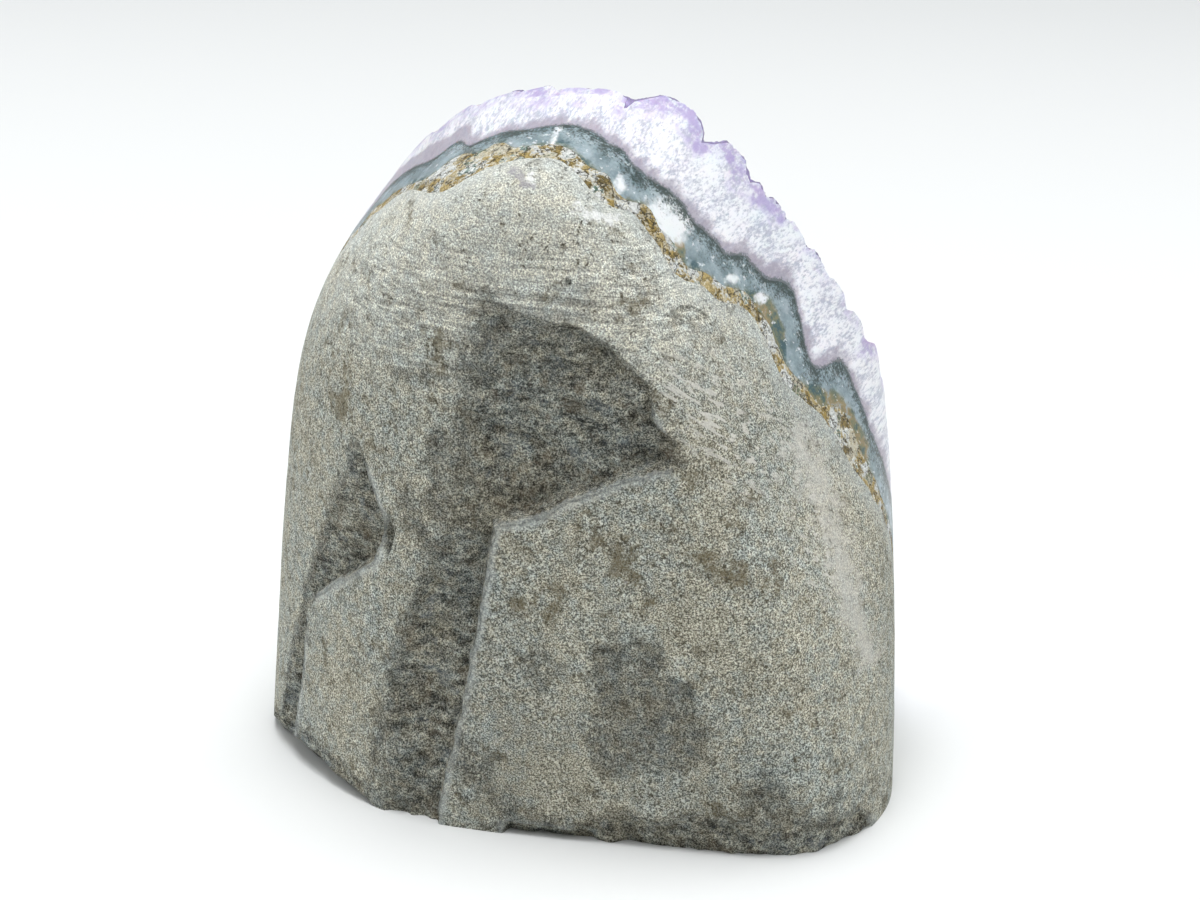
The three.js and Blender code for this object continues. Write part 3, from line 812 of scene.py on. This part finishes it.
def groundBasalt(look):
    noises = [
        ("grain", look["grainSize"], 2.0, 0.7, *even), ("hue", look["hueSize"], 5.0, 0.72, *even),
        ("mottle", look["mottleSize"], 4.0, 0.7, *even), ("cloud", look["cloudSize"], 3.0, 0.55, *even),
        ("stains", look["stainSize"], 4.0, 0.7, *even), ("pores", look["poreSize"], 2.0, 0.5, *even),
        ("relief", look["reliefSize"], 5.0, 0.78, *even), ("rusty", look["rustSize"], 3.0, 0.65, *even),
        # belt marks and scratches, less than a millimetre apart
        ("belt", look["beltSize"], 3.0, 0.6, (0, 0.05, 0), (0.05, 0.3, 1)),
        ("scratch", look["scratchSize"], 1.0, 0.5, (0, 0.6, 0), (0.08, 0.3, 1)),
        ("streak", look["streakSize"], 4.0, 0.72, (0, 0, 0), (0.45, 0.6, 1)),
    ]
    rows = [
        ("speckle", "ValToRGB", {"stops": [(0.4, look["dark"]), (0.5, look["mid"]), (0.6, look["light"])]},
         {"Fac": "grain"}),
        # warm and cool spots, in clouds of more of the one or the other
        ("hueSum", "Math", {**fused, 1: 0.5}, {0: "cloud", 2: "hue"}),
        ("brownSum", "Math", {**fused, 1: 0.1}, {0: "browned", 2: "hueSum"}),
        ("tintShare", "MapRange", {"range": (0.58, 0.86)}, {"Value": "brownSum"}),
        ("tintTone", "Mix", {**colourMix, "A": look["cool"], "B": look["warm"]}, {"Factor": "tintShare"}),
        ("tinted", "Mix", {**colourMix, "blend_type": "OVERLAY", "Factor": 0.62},
         {"A": "speckle", "B": "tintTone"}),
        ("mottleShade", "MapRange", {"range": (0.3, 0.7, *look["shade"])}, {"Value": "mottle"}),
        ("mottled", "VectorMath", {"operation": "SCALE"}, {0: "tinted", "Scale": "mottleShade"}),
        # the upper part is lighter and paler: partly its own weathered colour, partly painted light from
        # above
        ("axes", "SeparateXYZ", {}, {"Vector": "place.Object"}),
        ("paleAndLitTopGain", "MapRange", {**soft, "range": (0.062, 0.088, 1.0, 1.3)}, {"Value": "axes.Z"}),
        ("lifted", "VectorMath", {"operation": "SCALE"}, {0: "mottled", "Scale": "paleAndLitTopGain"}),
        *laid("bleach", look["bleached"], "lifted", "axes.Z", 0.062, 0.088, 0.3),
        # stains, and the pores within them
        ("stainSum", "Math", {**fused, 1: 0.16}, {0: "stained", 2: "stains"}),
        *laid("stain", look["stain"], "bleachTone", "stainSum", 0.53, 0.74, 0.75),
        ("poreSpot", "MapRange", {**soft, "range": (0.59, 0.66, 0, 0.85)}, {"Value": "pores"}),
        ("poreField", "MapRange", {**soft, "range": (0.46, 0.6)}, {"Value": "stainSum"}),
        ("poreShare", "Math", {"operation": "MULTIPLY"}, {0: "poreSpot", 1: "poreField"}),
        ("pored", "Mix", {**colourMix, "B": look["pore"]}, {"Factor": "poreShare", "A": "stainTone"}),
        # belt marks, painted shade low on the face and on the right, scratches, and a painted highlight along
        # the ridge on the right
        ("beltLine", "MapRange", {"range": (0.35, 0.65, -0.4, 0.4)}, {"Value": "belt"}),
        ("beltShade", "Math", {**fused, 2: 1.0}, {0: "beltLine", 1: "belted"}),
        ("beltAndPaintedShade", "Math", {**fused, 1: -0.14}, {0: "dulled", 2: "beltShade"}),
        ("marked", "VectorMath", {"operation": "SCALE"}, {0: "pored", "Scale": "beltAndPaintedShade"}),
        ("scratchLine", "MapRange", {**soft, "range": (0.57, 0.64, 0, 0.85)}, {"Value": "scratch"}),
        ("scratchShare", "Math", {"operation": "MULTIPLY"}, {0: "scratchLine", 1: "scratched"}),
        # a painted highlight along the ridge on the right, laid with the scratches in one pale colour
        ("ridgeHighlightSum", "Math", {**fused, 1: 2.4}, {0: "streak", 2: "worn"}),
        ("ridgeHighlightPart", "MapRange", {**soft, "range": (1.4, 2.3, 0, 0.6)}, {"Value": "ridgeHighlightSum"}),
        ("wornShare", "Math", {"operation": "MAXIMUM"}, {0: "scratchShare", 1: "ridgeHighlightPart"}),
        ("scratchAndHighlightTone", "Mix", {**colourMix, "B": look["worn"]}, {"Factor": "wornShare", "A": "marked"}),
        # paler towards the wall of the cavity, and mauve or chalky in places
        *laid("pale", look["paleEdge"], "scratchAndHighlightTone", "behindWall", 5.0, 0.5, 0.35),
        ("mauveSum", "Math", {**fused, 1: 2.4}, {0: "mottle", 2: "mauved"}),
        *laid("mauve", look["mauve"], "paleTone", "mauveSum", 1.5, 2.0, 0.7),
        ("chalkSum", "Math", {**fused, 1: 2.8}, {0: "mottle", 2: "whitened"}),
        *laid("chalk", look["chalk"], "mauveTone", "chalkSum", 1.8, 2.5, 0.85),
        # the breaks: the same grains, darker, with painted shade in the hollows and painted light on the tops
        # of their bump relief, streaks, and rusty and slaty patches
        ("uneven", "Math", {**fused, 1: 0.8}, {0: "relief", 2: "streak"}),
        ("reliefLightAndShade", "MapRange", {"range": (0.73, 1.09, 0.22, 1.94)}, {"Value": "uneven"}),
        ("dimmed", "Math", {"operation": "MULTIPLY", 1: look["breakShade"]}, {0: "reliefLightAndShade"}),
        ("breakTone", "VectorMath", {"operation": "SCALE"}, {0: "tinted", "Scale": "dimmed"}),
        *laid("rust", look["rust"], "breakTone", "rusty", 0.52, 0.7, 0.3),
        *laid("slate", look["slate"], "rustTone", "rusty", 0.46, 0.3, 0.3),
        *laid("fleck", look["fleck"], "slateTone", "grain", 0.58, 0.66, 0.55),
        # a break fades into the ground outside through broken spots
        # dark break-coloured patches, partly the stone's own and partly painted shade along the foot and low
        # on the left
        ("bruise", "Math", {"operation": "MULTIPLY", 1: 0.6}, {0: "bruised"}),
        ("darkest", "Math", {"operation": "MAXIMUM"}, {0: "tone", 1: "bruise"}),
        ("spotty", "Math", {**fused, 1: 1.8, 2: -1.6}, {0: "relief"}),
        ("blotchy", "Math", {**fused, 1: 1.4}, {0: "stains", 2: "spotty"}),
        ("toneSum", "Math", {"operation": "ADD"}, {0: "darkest", 1: "blotchy"}),
        ("broken", "MapRange", {**soft, "range": (0.2, 0.85)}, {"Value": "toneSum"}),
        ("broke", "Mix", colourMix, {"Factor": "broken", "A": "chalkTone", "B": "fleckTone"}),
        # pale edges of the breaks: partly worn, partly a painted highlight
        ("edgeWearAndHighlightSum", "Math", {**fused, 1: 0.9}, {0: "mottle", 2: "pale"}),
        *laid("bevel", look["paleEdge"], "broke", "edgeWearAndHighlightSum", 0.8, 1.5, 0.4),
        ("roughness", "MapRange", {"range": (0, 1, look["roughness"], look["breakRoughness"])},
         {"Value": "broken"}),
        # relief: grains, open pores and belt marks, and coarser on the breaks
        ("poreDip", "Math", {**fused, 1: -1.2}, {0: "poreShare", 2: "grain"}),
        ("beltDip", "Math", {**fused, 1: 2.0}, {0: "beltShade", 2: "poreDip"}),
        ("breakHeight", "Math", {"operation": "MULTIPLY", 1: 5.0}, {0: "relief"}),
        ("height", "Math", fused, {0: "breakHeight", 1: "broken", 2: "beltDip"}),
        ("bump", "Bump", {"Strength": 0.9, "Distance": look["bump"]}, {"Height": "height"}),
        ("stone", "BsdfPrincipled", {"Specular IOR Level": 0.35},
         {"Base Color": "bevelTone", "Roughness": "roughness", "Normal": "bump"}),
        ("out", "OutputMaterial", {}, {"Surface": "stone"}),
    ]
    return newMaterial("groundBasalt", noises, ("tone", "pale", "behindWall", *look["zones"]), rows)


# Celadonite and iron-stained clay, ground where it crumbles: glassy globes of ochre and brown with
# cream rims, some of them teal or white, parted by dark cracks.
rindLook = {
    "dark": "#44402a", "brown": "#7c6d40", "gold": "#ac9450", "ochre": "#c4b07a", "cream": "#dad6c4",
    "teal": "#4b7b72", "olive": "#747853", "white": "#e6e9e6", "crack": "#383422",
    "roughness": 0.45, "bump": 0.0005,
    # sizes in mm, and how far the globes are pushed out of round
    "globeSize": 2.3, "fineSize": 0.5, "crackSize": 2.4, "warpSize": 1.3, "warp": 0.0045,
}


def stainedRind(look):
    noises = [("fine", look["fineSize"], 4.0, 0.7, *even), ("warp", look["warpSize"], 3.0, 0.6, *even),
              ("lines", look["crackSize"], 3.0, 0.6, *even)]
    rows = [
        ("warped", "VectorMath", {"operation": "SCALE", "Scale": look["warp"]}, {0: "warp.Color"}),
        ("globePlace", "VectorMath", {"operation": "ADD"}, {0: "place.Object", 1: "warped"}),
        ("globes", "TexVoronoi", {"Scale": 1000 / look["globeSize"]}, {"Vector": "globePlace"}),
        ("globeEdges", "TexVoronoi", {"feature": "DISTANCE_TO_EDGE", "Scale": 1000 / look["globeSize"]},
         {"Vector": "globePlace"}),
        ("picked", "SeparateXYZ", {}, {"Vector": "globes.Color"}),
        ("pickedFine", "Math", {**fused, 1: 0.5}, {0: "fine", 2: "picked.X"}),
        ("globeTone", "ValToRGB", {"stops": [
            (0.12, look["dark"]), (0.3, look["brown"]), (0.45, look["gold"]), (0.7, look["ochre"]),
            (0.82, look["cream"]), (0.9, look["olive"]), (0.96, look["teal"]), (1.0, look["white"])]},
         {"Fac": "pickedFine"}),
        *laid("rim", look["cream"], "globeTone", "globeEdges", 0.13, 0.03, 0.6),
        ("fineShade", "MapRange", {"range": (0.3, 0.7, 0.68, 1.2)}, {"Value": "fine"}),
        ("shaded", "VectorMath", {"operation": "SCALE"}, {0: "rimTone", "Scale": "fineShade"}),
        ("line", "Math", {"operation": "SUBTRACT", 1: 0.5}, {0: "lines"}),
        ("lineReach", "Math", {"operation": "ABSOLUTE"}, {0: "line"}),
        *laid("crack", look["crack"], "shaded", "lineReach", 0.022, 0.006, 0.85),
        ("domed", "MapRange", {**soft, "range": (0.0, 0.35)}, {"Value": "globeEdges"}),
        ("crumbled", "Math", {**fused, 1: 0.8}, {0: "fine", 2: "domed"}),
        ("height", "Math", {"operation": "SUBTRACT"}, {0: "crumbled", 1: "crackShare"}),
        ("bump", "Bump", {"Strength": 0.8, "Distance": look["bump"]}, {"Height": "height"}),
        ("clay", "BsdfPrincipled", {"Roughness": look["roughness"]},
         {"Base Color": "crackTone", "Normal": "bump"}),
        ("out", "OutputMaterial", {}, {"Surface": "clay"}),
    ]
    return newMaterial("stainedRind", noises, (), rows)


# Chalcedony, polished: a waxy grey-green stone, clouded white, that darkens to a fuzzy teal line
# where the quartz starts.
chalcedonyLook = {
    "body": "#718489", "pale": "#a2b2b9", "dark": "#3b4846", "olive": "#6f7456", "ochre": "#9a8455",
    "teal": "#2f5258", "white": "#eaeef0", "roughness": 0.28,
    # sizes in mm
    "cloudSize": 3.0, "fuzzSize": 0.4, "teethSize": 1.5, "stepSize": 4.5, "patchSize": 3.2, "speckSize": 0.9,
    # white clouds and olive to teal patches: (from, to, reach) seen from behind
    "clouds": [(9.4, 94.6, 12, 92, 3), (-6.6, 105.4, -6, 103.8, 0.8), (4, 99.5, 4.6, 98.5, 1),
               (18.6, 84, 19.4, 83.2, 0.7), (22.2, 80.4, 23, 79.4, 0.7)],
    "patches": [(11, 91.5, 12.5, 89.5, 1.6), (23, 79, 25.5, 74.5, 3), (31, 64, 37, 55, 3)],
}


def polishedChalcedony(look):
    noises = [
        ("clouds", look["cloudSize"], 4.0, 0.6, *even), ("fuzz", look["fuzzSize"], 3.0, 0.7, *even),
        ("teeth", look["teethSize"], 2.0, 0.6, *even), ("steps", look["stepSize"], 2.0, 0.5, *even),
        ("patches", look["patchSize"], 4.0, 0.7, *even), ("specks", look["speckSize"], 2.0, 0.6, *even),
    ]
    rows = [
        ("body", "ValToRGB", {"stops": [(0.36, look["body"]), (0.64, look["pale"])]}, {"Fac": "clouds"}),
        ("grainShade", "MapRange", {"range": (0.3, 0.7, 0.88, 1.1)}, {"Value": "fuzz"}),
        ("grained", "VectorMath", {"operation": "SCALE"}, {0: "body", "Scale": "grainShade"}),
        # olive, ochre and teal stains by the rind, most of all low on the right
        ("stainTone", "ValToRGB", {"stops": [
            (0.38, look["teal"]), (0.47, look["olive"]), (0.58, look["ochre"]), (0.68, look["pale"])]},
         {"Fac": "patches"}),
        ("rindReach", "Math", {**fused, 1: -4.5}, {0: "stained", 2: "fromRind"}),
        ("stainWander", "Math", {**fused, 1: 8.0, 2: -4.0}, {0: "patches"}),
        ("fromStain", "Math", {"operation": "ADD"}, {0: "rindReach", 1: "stainWander"}),
        ("stainShare", "MapRange", {**soft, "range": (1.2, -0.6, 0, 0.9)}, {"Value": "fromStain"}),
        ("patched", "Mix", colourMix, {"Factor": "stainShare", "A": "grained", "B": "stainTone"}),
        # white clouds and small specks
        ("cloudWander", "Math", {**fused, 1: 1.2}, {0: "specks", 2: "clouds"}),
        ("cloudSum", "Math", {**fused, 1: 1.3}, {0: "clouded", 2: "cloudWander"}),
        ("cloudShare", "MapRange", {**soft, "range": (1.3, 2.2)}, {"Value": "cloudSum"}),
        ("speckShare", "MapRange", {**soft, "range": (0.62, 0.7, 0, 0.7)}, {"Value": "specks"}),
        ("whiteShare", "Math", {"operation": "MAXIMUM"}, {0: "cloudShare", 1: "speckShare"}),
        ("whitened", "Mix", {**colourMix, "B": look["white"]}, {"Factor": "whiteShare", "A": "patched"}),
        # the dark line before the quartz, with its steps, teeth and grains
        ("fuzzShift", "Math", {**fused, 1: 14.0, 2: -7.0}, {0: "fuzz"}),
        ("teethShift", "Math", {**fused, 1: 5.0}, {0: "teeth", 2: "fuzzShift"}),
        ("stepShift", "Math", {**fused, 1: 5.0}, {0: "steps", 2: "teethShift"}),
        ("toQuartz", "Math", {"operation": "ADD"}, {0: "fromQuartz", 1: "stepShift"}),
        ("darkShare", "MapRange", {"range": (7.8, 5.0, 0, 0.97)}, {"Value": "toQuartz"}),
        ("colour", "Mix", {**colourMix, "B": look["dark"]}, {"Factor": "darkShare", "A": "whitened"}),
        ("bump", "Bump", {"Strength": 0.25, "Distance": 0.0002}, {"Height": "fuzz"}),
        ("gloss", "BsdfPrincipled",
         {"Roughness": look["roughness"], "IOR": 1.54, "Subsurface Weight": 0.15, "Subsurface Scale": 0.002},
         {"Base Color": "colour", "Normal": "bump"}),
        ("out", "OutputMaterial", {}, {"Surface": "gloss"}),
    ]
    return newMaterial("polishedChalcedony", noises, ("fromRind", "fromQuartz", "clouded", "stained"), rows)


# Milky quartz, ground and polished across its needles: white combs that run out from the wall,
# mauve-grey where they start and violet where they turn to clear crystal.
quartzLook = {
    "start": "#9f97a6", "grey": "#b9bccb", "white": "#f2f3f8", "lilac": "#d8d0ea", "violet": "#8f76bd",
    "dark": "#566263", "roughness": 0.3,
    # sizes in mm, and how far the needles are drawn out
    "needleSize": 0.4, "tuftSize": 2.8, "cloudSize": 2.6, "fuzzSize": 0.45, "tintSize": 4.5, "stretch": 0.13,
    # where the rim is violet, and where the mauve start takes in the whole layer
    "violets": [(-34, 94, -12, 106.5, 5), (-6, 107.5, -3.5, 107.5, 2.6), (0.5, 106.5, 1, 106, 2),
                (4, 106.5, 11, 104, 4.2), (13, 101, 18, 97, 4.5), (20, 93.5, 22.5, 90.5, 3.2),
                (35.5, 67, 36, 66, 2.5)],
    "mauves": [(-37, 91, -25, 100, 7)],
}


def milkyQuartz(look):
    noises = [("cloudy", look["cloudSize"], 5.0, 0.7, *even), ("fuzz", look["fuzzSize"], 3.0, 0.7, *even),
              ("tint", look["tintSize"], 3.0, 0.6, *even)]
    rows = [
        ("needles", "TexNoise", {"Scale": 1 / look["needleSize"], "Detail": 3.0, "Roughness": 0.7},
         {"Vector": "comb.Vector"}),
        ("tufts", "TexNoise", {"Scale": 1 / look["tuftSize"], "Detail": 3.0, "Roughness": 0.6},
         {"Vector": "comb.Vector"}),
        ("both", "Math", {**fused, 1: 0.6}, {0: "tufts", 2: "needles"}),
        ("needled", "ValToRGB", {"stops": [(0.66, look["grey"]), (0.86, look["white"])]}, {"Fac": "both"}),
        # violet towards the faces of the crystals, between white feathers
        ("tuftShift", "Math", {**fused, 1: 10.0, 2: -5.0}, {0: "tufts"}),
        ("tintShift", "Math", {**fused, 1: 10.0, 2: -5.0}, {0: "tint"}),
        ("shift", "Math", {"operation": "ADD"}, {0: "tuftShift", 1: "tintShift"}),
        ("zoned", "Math", {**fused, 1: -7.0, 2: 1.8}, {0: "violets"}),
        ("blotch", "MapRange", {**soft, "range": (0.4, 0.58, 0.15, 1)}, {"Value": "cloudy"}),
        ("shifted", "Math", {"operation": "ADD"}, {0: "zoned", 1: "shift"}),
        ("toViolet", "Math", {"operation": "ADD"}, {0: "toFace", 1: "shifted"}),
        ("lilacShare", "MapRange", {**soft, "range": (5.6, 2.0, 0, 0.65)}, {"Value": "toViolet"}),
        ("lilacPart", "Math", {"operation": "MULTIPLY"}, {0: "lilacShare", 1: "blotch"}),
        ("lilaced", "Mix", {**colourMix, "B": look["lilac"]}, {"Factor": "lilacPart", "A": "needled"}),
        ("violetShare", "MapRange", {**soft, "range": (2.2, -0.8, 0, 0.55)}, {"Value": "toViolet"}),
        ("violetPart", "Math", {"operation": "MULTIPLY"}, {0: "violetShare", 1: "blotch"}),
        ("tinted", "Mix", {**colourMix, "B": look["violet"]}, {"Factor": "violetPart", "A": "lilaced"}),
        # mauve-grey, then a dark fuzzy line, towards the chalcedony
        ("startShift", "Math", {**fused, 1: 7.0, 2: -3.5}, {0: "tufts"}),
        ("fuzzShift", "Math", {**fused, 1: 2.4, 2: -1.2}, {0: "fuzz"}),
        ("fromFuzzy", "Math", {"operation": "ADD"}, {0: "fromChalcedony", 1: "fuzzShift"}),
        ("mauveShift", "Math", {**fused, 1: -6.0}, {0: "mauves", 2: "startShift"}),
        ("fromStart", "Math", {"operation": "ADD"}, {0: "fromFuzzy", 1: "mauveShift"}),
        *laid("start", look["start"], "tinted", "fromStart", 3.8, 0.8, 0.8),
        *laid("dark", look["dark"], "startTone", "fromFuzzy", 0.9, 0.2, 0.85),
        ("bump", "Bump", {"Strength": 0.4, "Distance": 0.0003}, {"Height": "both"}),
        ("gloss", "BsdfPrincipled",
         {"Roughness": look["roughness"], "IOR": 1.544, "Subsurface Weight": 0.2, "Subsurface Scale": 0.002},
         {"Base Color": "darkTone", "Normal": "bump"}),
        ("out", "OutputMaterial", {}, {"Surface": "gloss"}),
    ]
    return newMaterial("milkyQuartz", noises, ("comb", "fromChalcedony", "toFace", "violets", "mauves"), rows)


# Amethyst, natural crystal faces and a polished rim: clear quartz that takes its violet from the
# depth of stone the light has crossed.
amethystLook = {
    "surface": "#b39ee2", "veil": "#e8e1f7", "violet": (0.62, 0.36, 0.93), "density": 100.0,
    "roughness": 0.04, "veilSize": 2.6, "stepSize": 1.4,
}


def clearAmethyst(look):
    noises = [("veils", look["veilSize"], 4.0, 0.65, *even), ("steps", look["stepSize"], 2.0, 0.5, *even)]
    rows = [
        ("veiled", "Mix", {**colourMix, "A": look["surface"], "B": look["veil"]}, {"Factor": "veils"}),
        ("bump", "Bump", {"Strength": 0.05, "Distance": 0.0003}, {"Height": "steps"}),
        ("crystal", "BsdfPrincipled",
         {"Roughness": look["roughness"], "IOR": 1.544, "Transmission Weight": 0.6},
         {"Base Color": "veiled", "Normal": "bump"}),
        ("depth", "VolumeAbsorption", {"Color": (*look["violet"], 1), "Density": look["density"]}),
        ("out", "OutputMaterial", {}, {"Surface": "crystal", "Volume": "depth"}),
    ]
    return newMaterial("clearAmethyst", noises, (), rows)


def buildBasalt():
    block = combine(envelope(), inFrontOf(wallY, -layerForm["parting"]), "DIFFERENCE")
    for number, scar in enumerate(scars):
        combine(block, scarTool(scar, scarForm["seed"] + 10 * number), "DIFFERENCE")
    spots = places(block)
    tone, pale = scarTones(spots)
    toeAzimuth, toeElevation, toeDistance = stoneForm["brokenToe"]
    toeStart = toeDistance - stoneForm["toeBand"]
    tone[(spots - core) @ facing(toeAzimuth, toeElevation) > toeStart] = stoneForm["toeTone"]
    tone[spots[:, 2] < 0.01] = stoneForm["baseTone"]
    zones = {name: nearLines(spots, lines) for name, lines in basaltLook["zones"].items()}
    behindWall = wallY(spots[:, 0], spots[:, 2]) - spots[:, 1]
    keepValues(block, tone=tone, pale=pale, behindWall=behindWall, **zones)
    dress(block, "groundBasalt", "basalt_matrix", groundBasalt(basaltLook), sharpAngle=42)


def buildRind():
    layer = combine(envelope(), inFrontOf(wallY), "INTERSECT")
    combine(layer, inFrontOf(rindFrontY), "DIFFERENCE")
    dress(layer, "stainedRind", "celadonite_rind", stainedRind(rindLook), sharpAngle=35)


def buildChalcedony():
    layer = combine(envelope(), inFrontOf(rindFrontY, layerForm["parting"]), "INTERSECT")
    combine(layer, inFrontOf(chalcedonyFrontY), "DIFFERENCE")
    spots = places(layer)
    x, y, z = spots.T
    clouded, stained = (nearLines(spots, chalcedonyLook[name]) for name in ("clouds", "patches"))
    keepValues(layer, fromRind=y - rindFrontY(x, z), fromQuartz=chalcedonyFrontY(x, z) - y,
               clouded=clouded, stained=stained)
    gloss = polishedChalcedony(chalcedonyLook)
    dress(layer, "polishedChalcedony", "chalcedony_band", gloss, sharpAngle=35)


def milkyFrontY(grown, x, z):
    # the milky quartz ends in feathers some way below the faces of the crystals
    spots = np.stack([x, 0 * x + 1.7, z], axis=1)
    start = sweepY(x, z) + layerForm["quartzDepth"]
    front = np.maximum(crystalFrontY(grown, x, z), start)
    inStone = smooth(0.5, 5, depthInStone(np.stack([x, front, z], axis=1)))
    thin, thick, share = crystalForm["cap"]
    cap = thin + inStone * (thick + share * (front - start))
    feathers = patches(spots, (0.5, 3.2, 81), (0.3, 1.6, 82)) + 0.3 * np.abs(patchy(spots, 0.9, 83))
    least = chalcedonyFrontY(x, z) + crystalForm["leastMilky"] + feathers
    return np.maximum(front - cap * (1 + feathers), least)


def buildCrust():
    grown = growCrystals()

    def milkyFront(x, z):
        return milkyFrontY(grown, x, z)

    milky = combine(envelope(), inFrontOf(chalcedonyFrontY, layerForm["parting"]), "INTERSECT")
    combine(milky, inFrontOf(milkyFront), "DIFFERENCE")
    spots = places(milky)
    x, y, z = spots.T
    comb = np.stack([x, (y - sweepY(x, z)) * quartzLook["stretch"], z], axis=1)
    zones = {name: nearLines(spots, quartzLook[name]) for name in ("violets", "mauves")}
    keepValues(milky, comb=comb, fromChalcedony=y - chalcedonyFrontY(x, z),
               toFace=crystalFrontY(grown, x, z) - y, **zones)
    dress(milky, "milkyQuartz", "amethyst_crust", milkyQuartz(quartzLook), sharpAngle=30)
    clear = joined([crystalBody(crystal) for crystal in grown])
    behind = inFrontOf(chalcedonyFrontY, crystalForm["leastMilky"])
    room = combine(envelope(crystalForm["inset"]), behind, "INTERSECT")
    # even small faces, then fewer of them where they lie flat
    remade(combine(clear, room, "INTERSECT"), "REMESH", mode="VOXEL", voxel_size=crystalForm["facet"] / 1000)
    roughen(clear, grown)
    remade(clear, "DECIMATE", ratio=crystalForm["facesKept"])
    dress(clear, "clearAmethyst", "amethyst_crust", clearAmethyst(amethystLook), sharpAngle=12)


def roughen(thing, grown):
    # wears the crystals into lumps where the rim was ground, and leaves the others their flat faces
    spots = places(thing)
    worn = 1 - smooth(*crystalForm["wornDepth"], depthInStone(spots))
    ends = np.array([edge.vertices[:] for edge in thing.data.edges])
    count = np.bincount(ends.ravel(), minlength=len(spots))[:, None]
    for _ in range(crystalForm["wearing"]):
        mean = np.zeros_like(spots)
        np.add.at(mean, ends[:, 0], spots[ends[:, 1]])
        np.add.at(mean, ends[:, 1], spots[ends[:, 0]])
        spots += (crystalForm["evened"] * worn)[:, None] * (mean / count - spots)
    spots += (1 - worn)[:, None] * ontoFaces(grown, spots)
    normals = np.empty(len(spots) * 3)
    thing.data.vertices.foreach_get("normal", normals)
    lumps = patches(spots, (0.55, 3.2, 91), (0.35, 1.6, 92))
    spots += normals.reshape(-1, 3) * (worn * (lumps + crystalForm["lifted"]))[:, None]
    outside = np.maximum(crystalForm["within"] - depthInStone(spots), 0)
    inward = core - spots
    spots += inward / np.linalg.norm(inward, axis=1)[:, None] * outside[:, None]
    thing.data.vertices.foreach_set("co", (spots / 1000).astype(np.float32).ravel())


buildBasalt()
buildRind()
buildChalcedony()
buildCrust()

# A pale floor that runs far back, painted greyer towards the back as a painted shade for the light falling
# off, and soft light from large panels.
studioLook = {
    "floorNear": "#e7e9e9", "floorFarShade": "#b7bbbc", "panels": [
        # size, place, power, aimed at the stone
        (0.9, (0, 0, 1.5), 19), (0.9, (0.2, -0.6, 1.35), 5.5),
        (0.9, (-1.4, 0.1, 0.6), 6.5), (0.9, (1.4, 0.1, 0.6), 4),
    ],
    "sky": "#f2f5f8", "skyAhead": 0.1, "skyBehind": 0.42,
}


def buildStudio(look):
    corners = np.array([(-8, -4, 0), (8, -4, 0), (8, 24, 0), (-8, 24, 0)], float)
    floor = makeMesh("studioFloor", corners, [(0, 1, 2, 3)])
    rows = [
        ("axes", "SeparateXYZ", {}, {"Vector": "place.Object"}),
        # painted shade: the floor greys with distance from the stone
        ("far", "MapRange", {**soft, "range": (0.25, 2.2)}, {"Value": "axes.Y"}),
        ("paper", "Mix", {**colourMix, "A": look["floorNear"], "B": look["floorFarShade"]}, {"Factor": "far"}),
        ("sheet", "BsdfPrincipled", {"Roughness": 0.9, "Specular IOR Level": 0.1}, {"Base Color": "paper"}),
        ("out", "OutputMaterial", {}, {"Surface": "sheet"}),
    ]
    floor.data.materials.append(newMaterial("studioPaper", [], (), rows))
    for number, (size, place, power) in enumerate(look["panels"]):
        light = bpy.data.lights.new(f"panel{number}", "AREA")
        light.size, light.energy = size, power
        panel = bpy.data.objects.new(f"panel{number}", light)
        panel.location = place
        panel.rotation_euler = (Vector((0, 0, 0.05)) - Vector(place)).to_track_quat("-Z", "Y").to_euler()
        bpy.context.scene.collection.objects.link(panel)
    world = bpy.data.worlds.new("studioSky")
    world.use_nodes = True
    world.node_tree.nodes.clear()
    addNode(world.node_tree, "way", "TexCoord", {})
    addNode(world.node_tree, "axes", "SeparateXYZ", {}, {"Vector": "way.Generated"})
    skyRange = (-1, 1, look["skyAhead"], look["skyBehind"])
    addNode(world.node_tree, "light", "MapRange", {"range": skyRange}, {"Value": "axes.Y"})
    addNode(world.node_tree, "sky", "Background", {"Color": look["sky"]}, {"Strength": "light"})
    addNode(world.node_tree, "out", "OutputWorld", {}, {"Surface": "sky"})
    bpy.context.scene.world = world
    bpy.context.scene.view_settings.view_transform = "Standard"


# A camera behind the stone, a little to its right and above, aimed near the core.
cameraView = {
    "azimuth": 15, "elevation": 20, "lens": 85, "sensor": 36, "nearest": 0.01, "distance": 436.3,
    "aimAbove": 5, "aimLeft": 2.86, "aimUp": 2.41,
}


def buildCamera(view):
    turn = math.radians(view["azimuth"])
    back = Vector(facing(view["azimuth"], view["elevation"]))
    right = Vector((math.cos(turn), math.sin(turn), 0))
    up = right.cross(-back)
    aim = Vector(core) + Vector((0, 0, view["aimAbove"])) - right * view["aimLeft"] + up * view["aimUp"]
    lensBody = bpy.data.cameras.new("camera")
    lensBody.lens, lensBody.sensor_width, lensBody.clip_start = view["lens"], view["sensor"], view["nearest"]
    camera = bpy.data.objects.new("camera", lensBody)
    camera.rotation_mode = "QUATERNION"
    camera.rotation_quaternion = (-back).to_track_quat("-Z", "Y")
    camera.location = (aim + back * view["distance"]) / 1000
    bpy.context.scene.collection.objects.link(camera)
    bpy.context.scene.camera = camera


buildStudio(studioLook)
buildCamera(cameraView)
print("studio and camera ready")
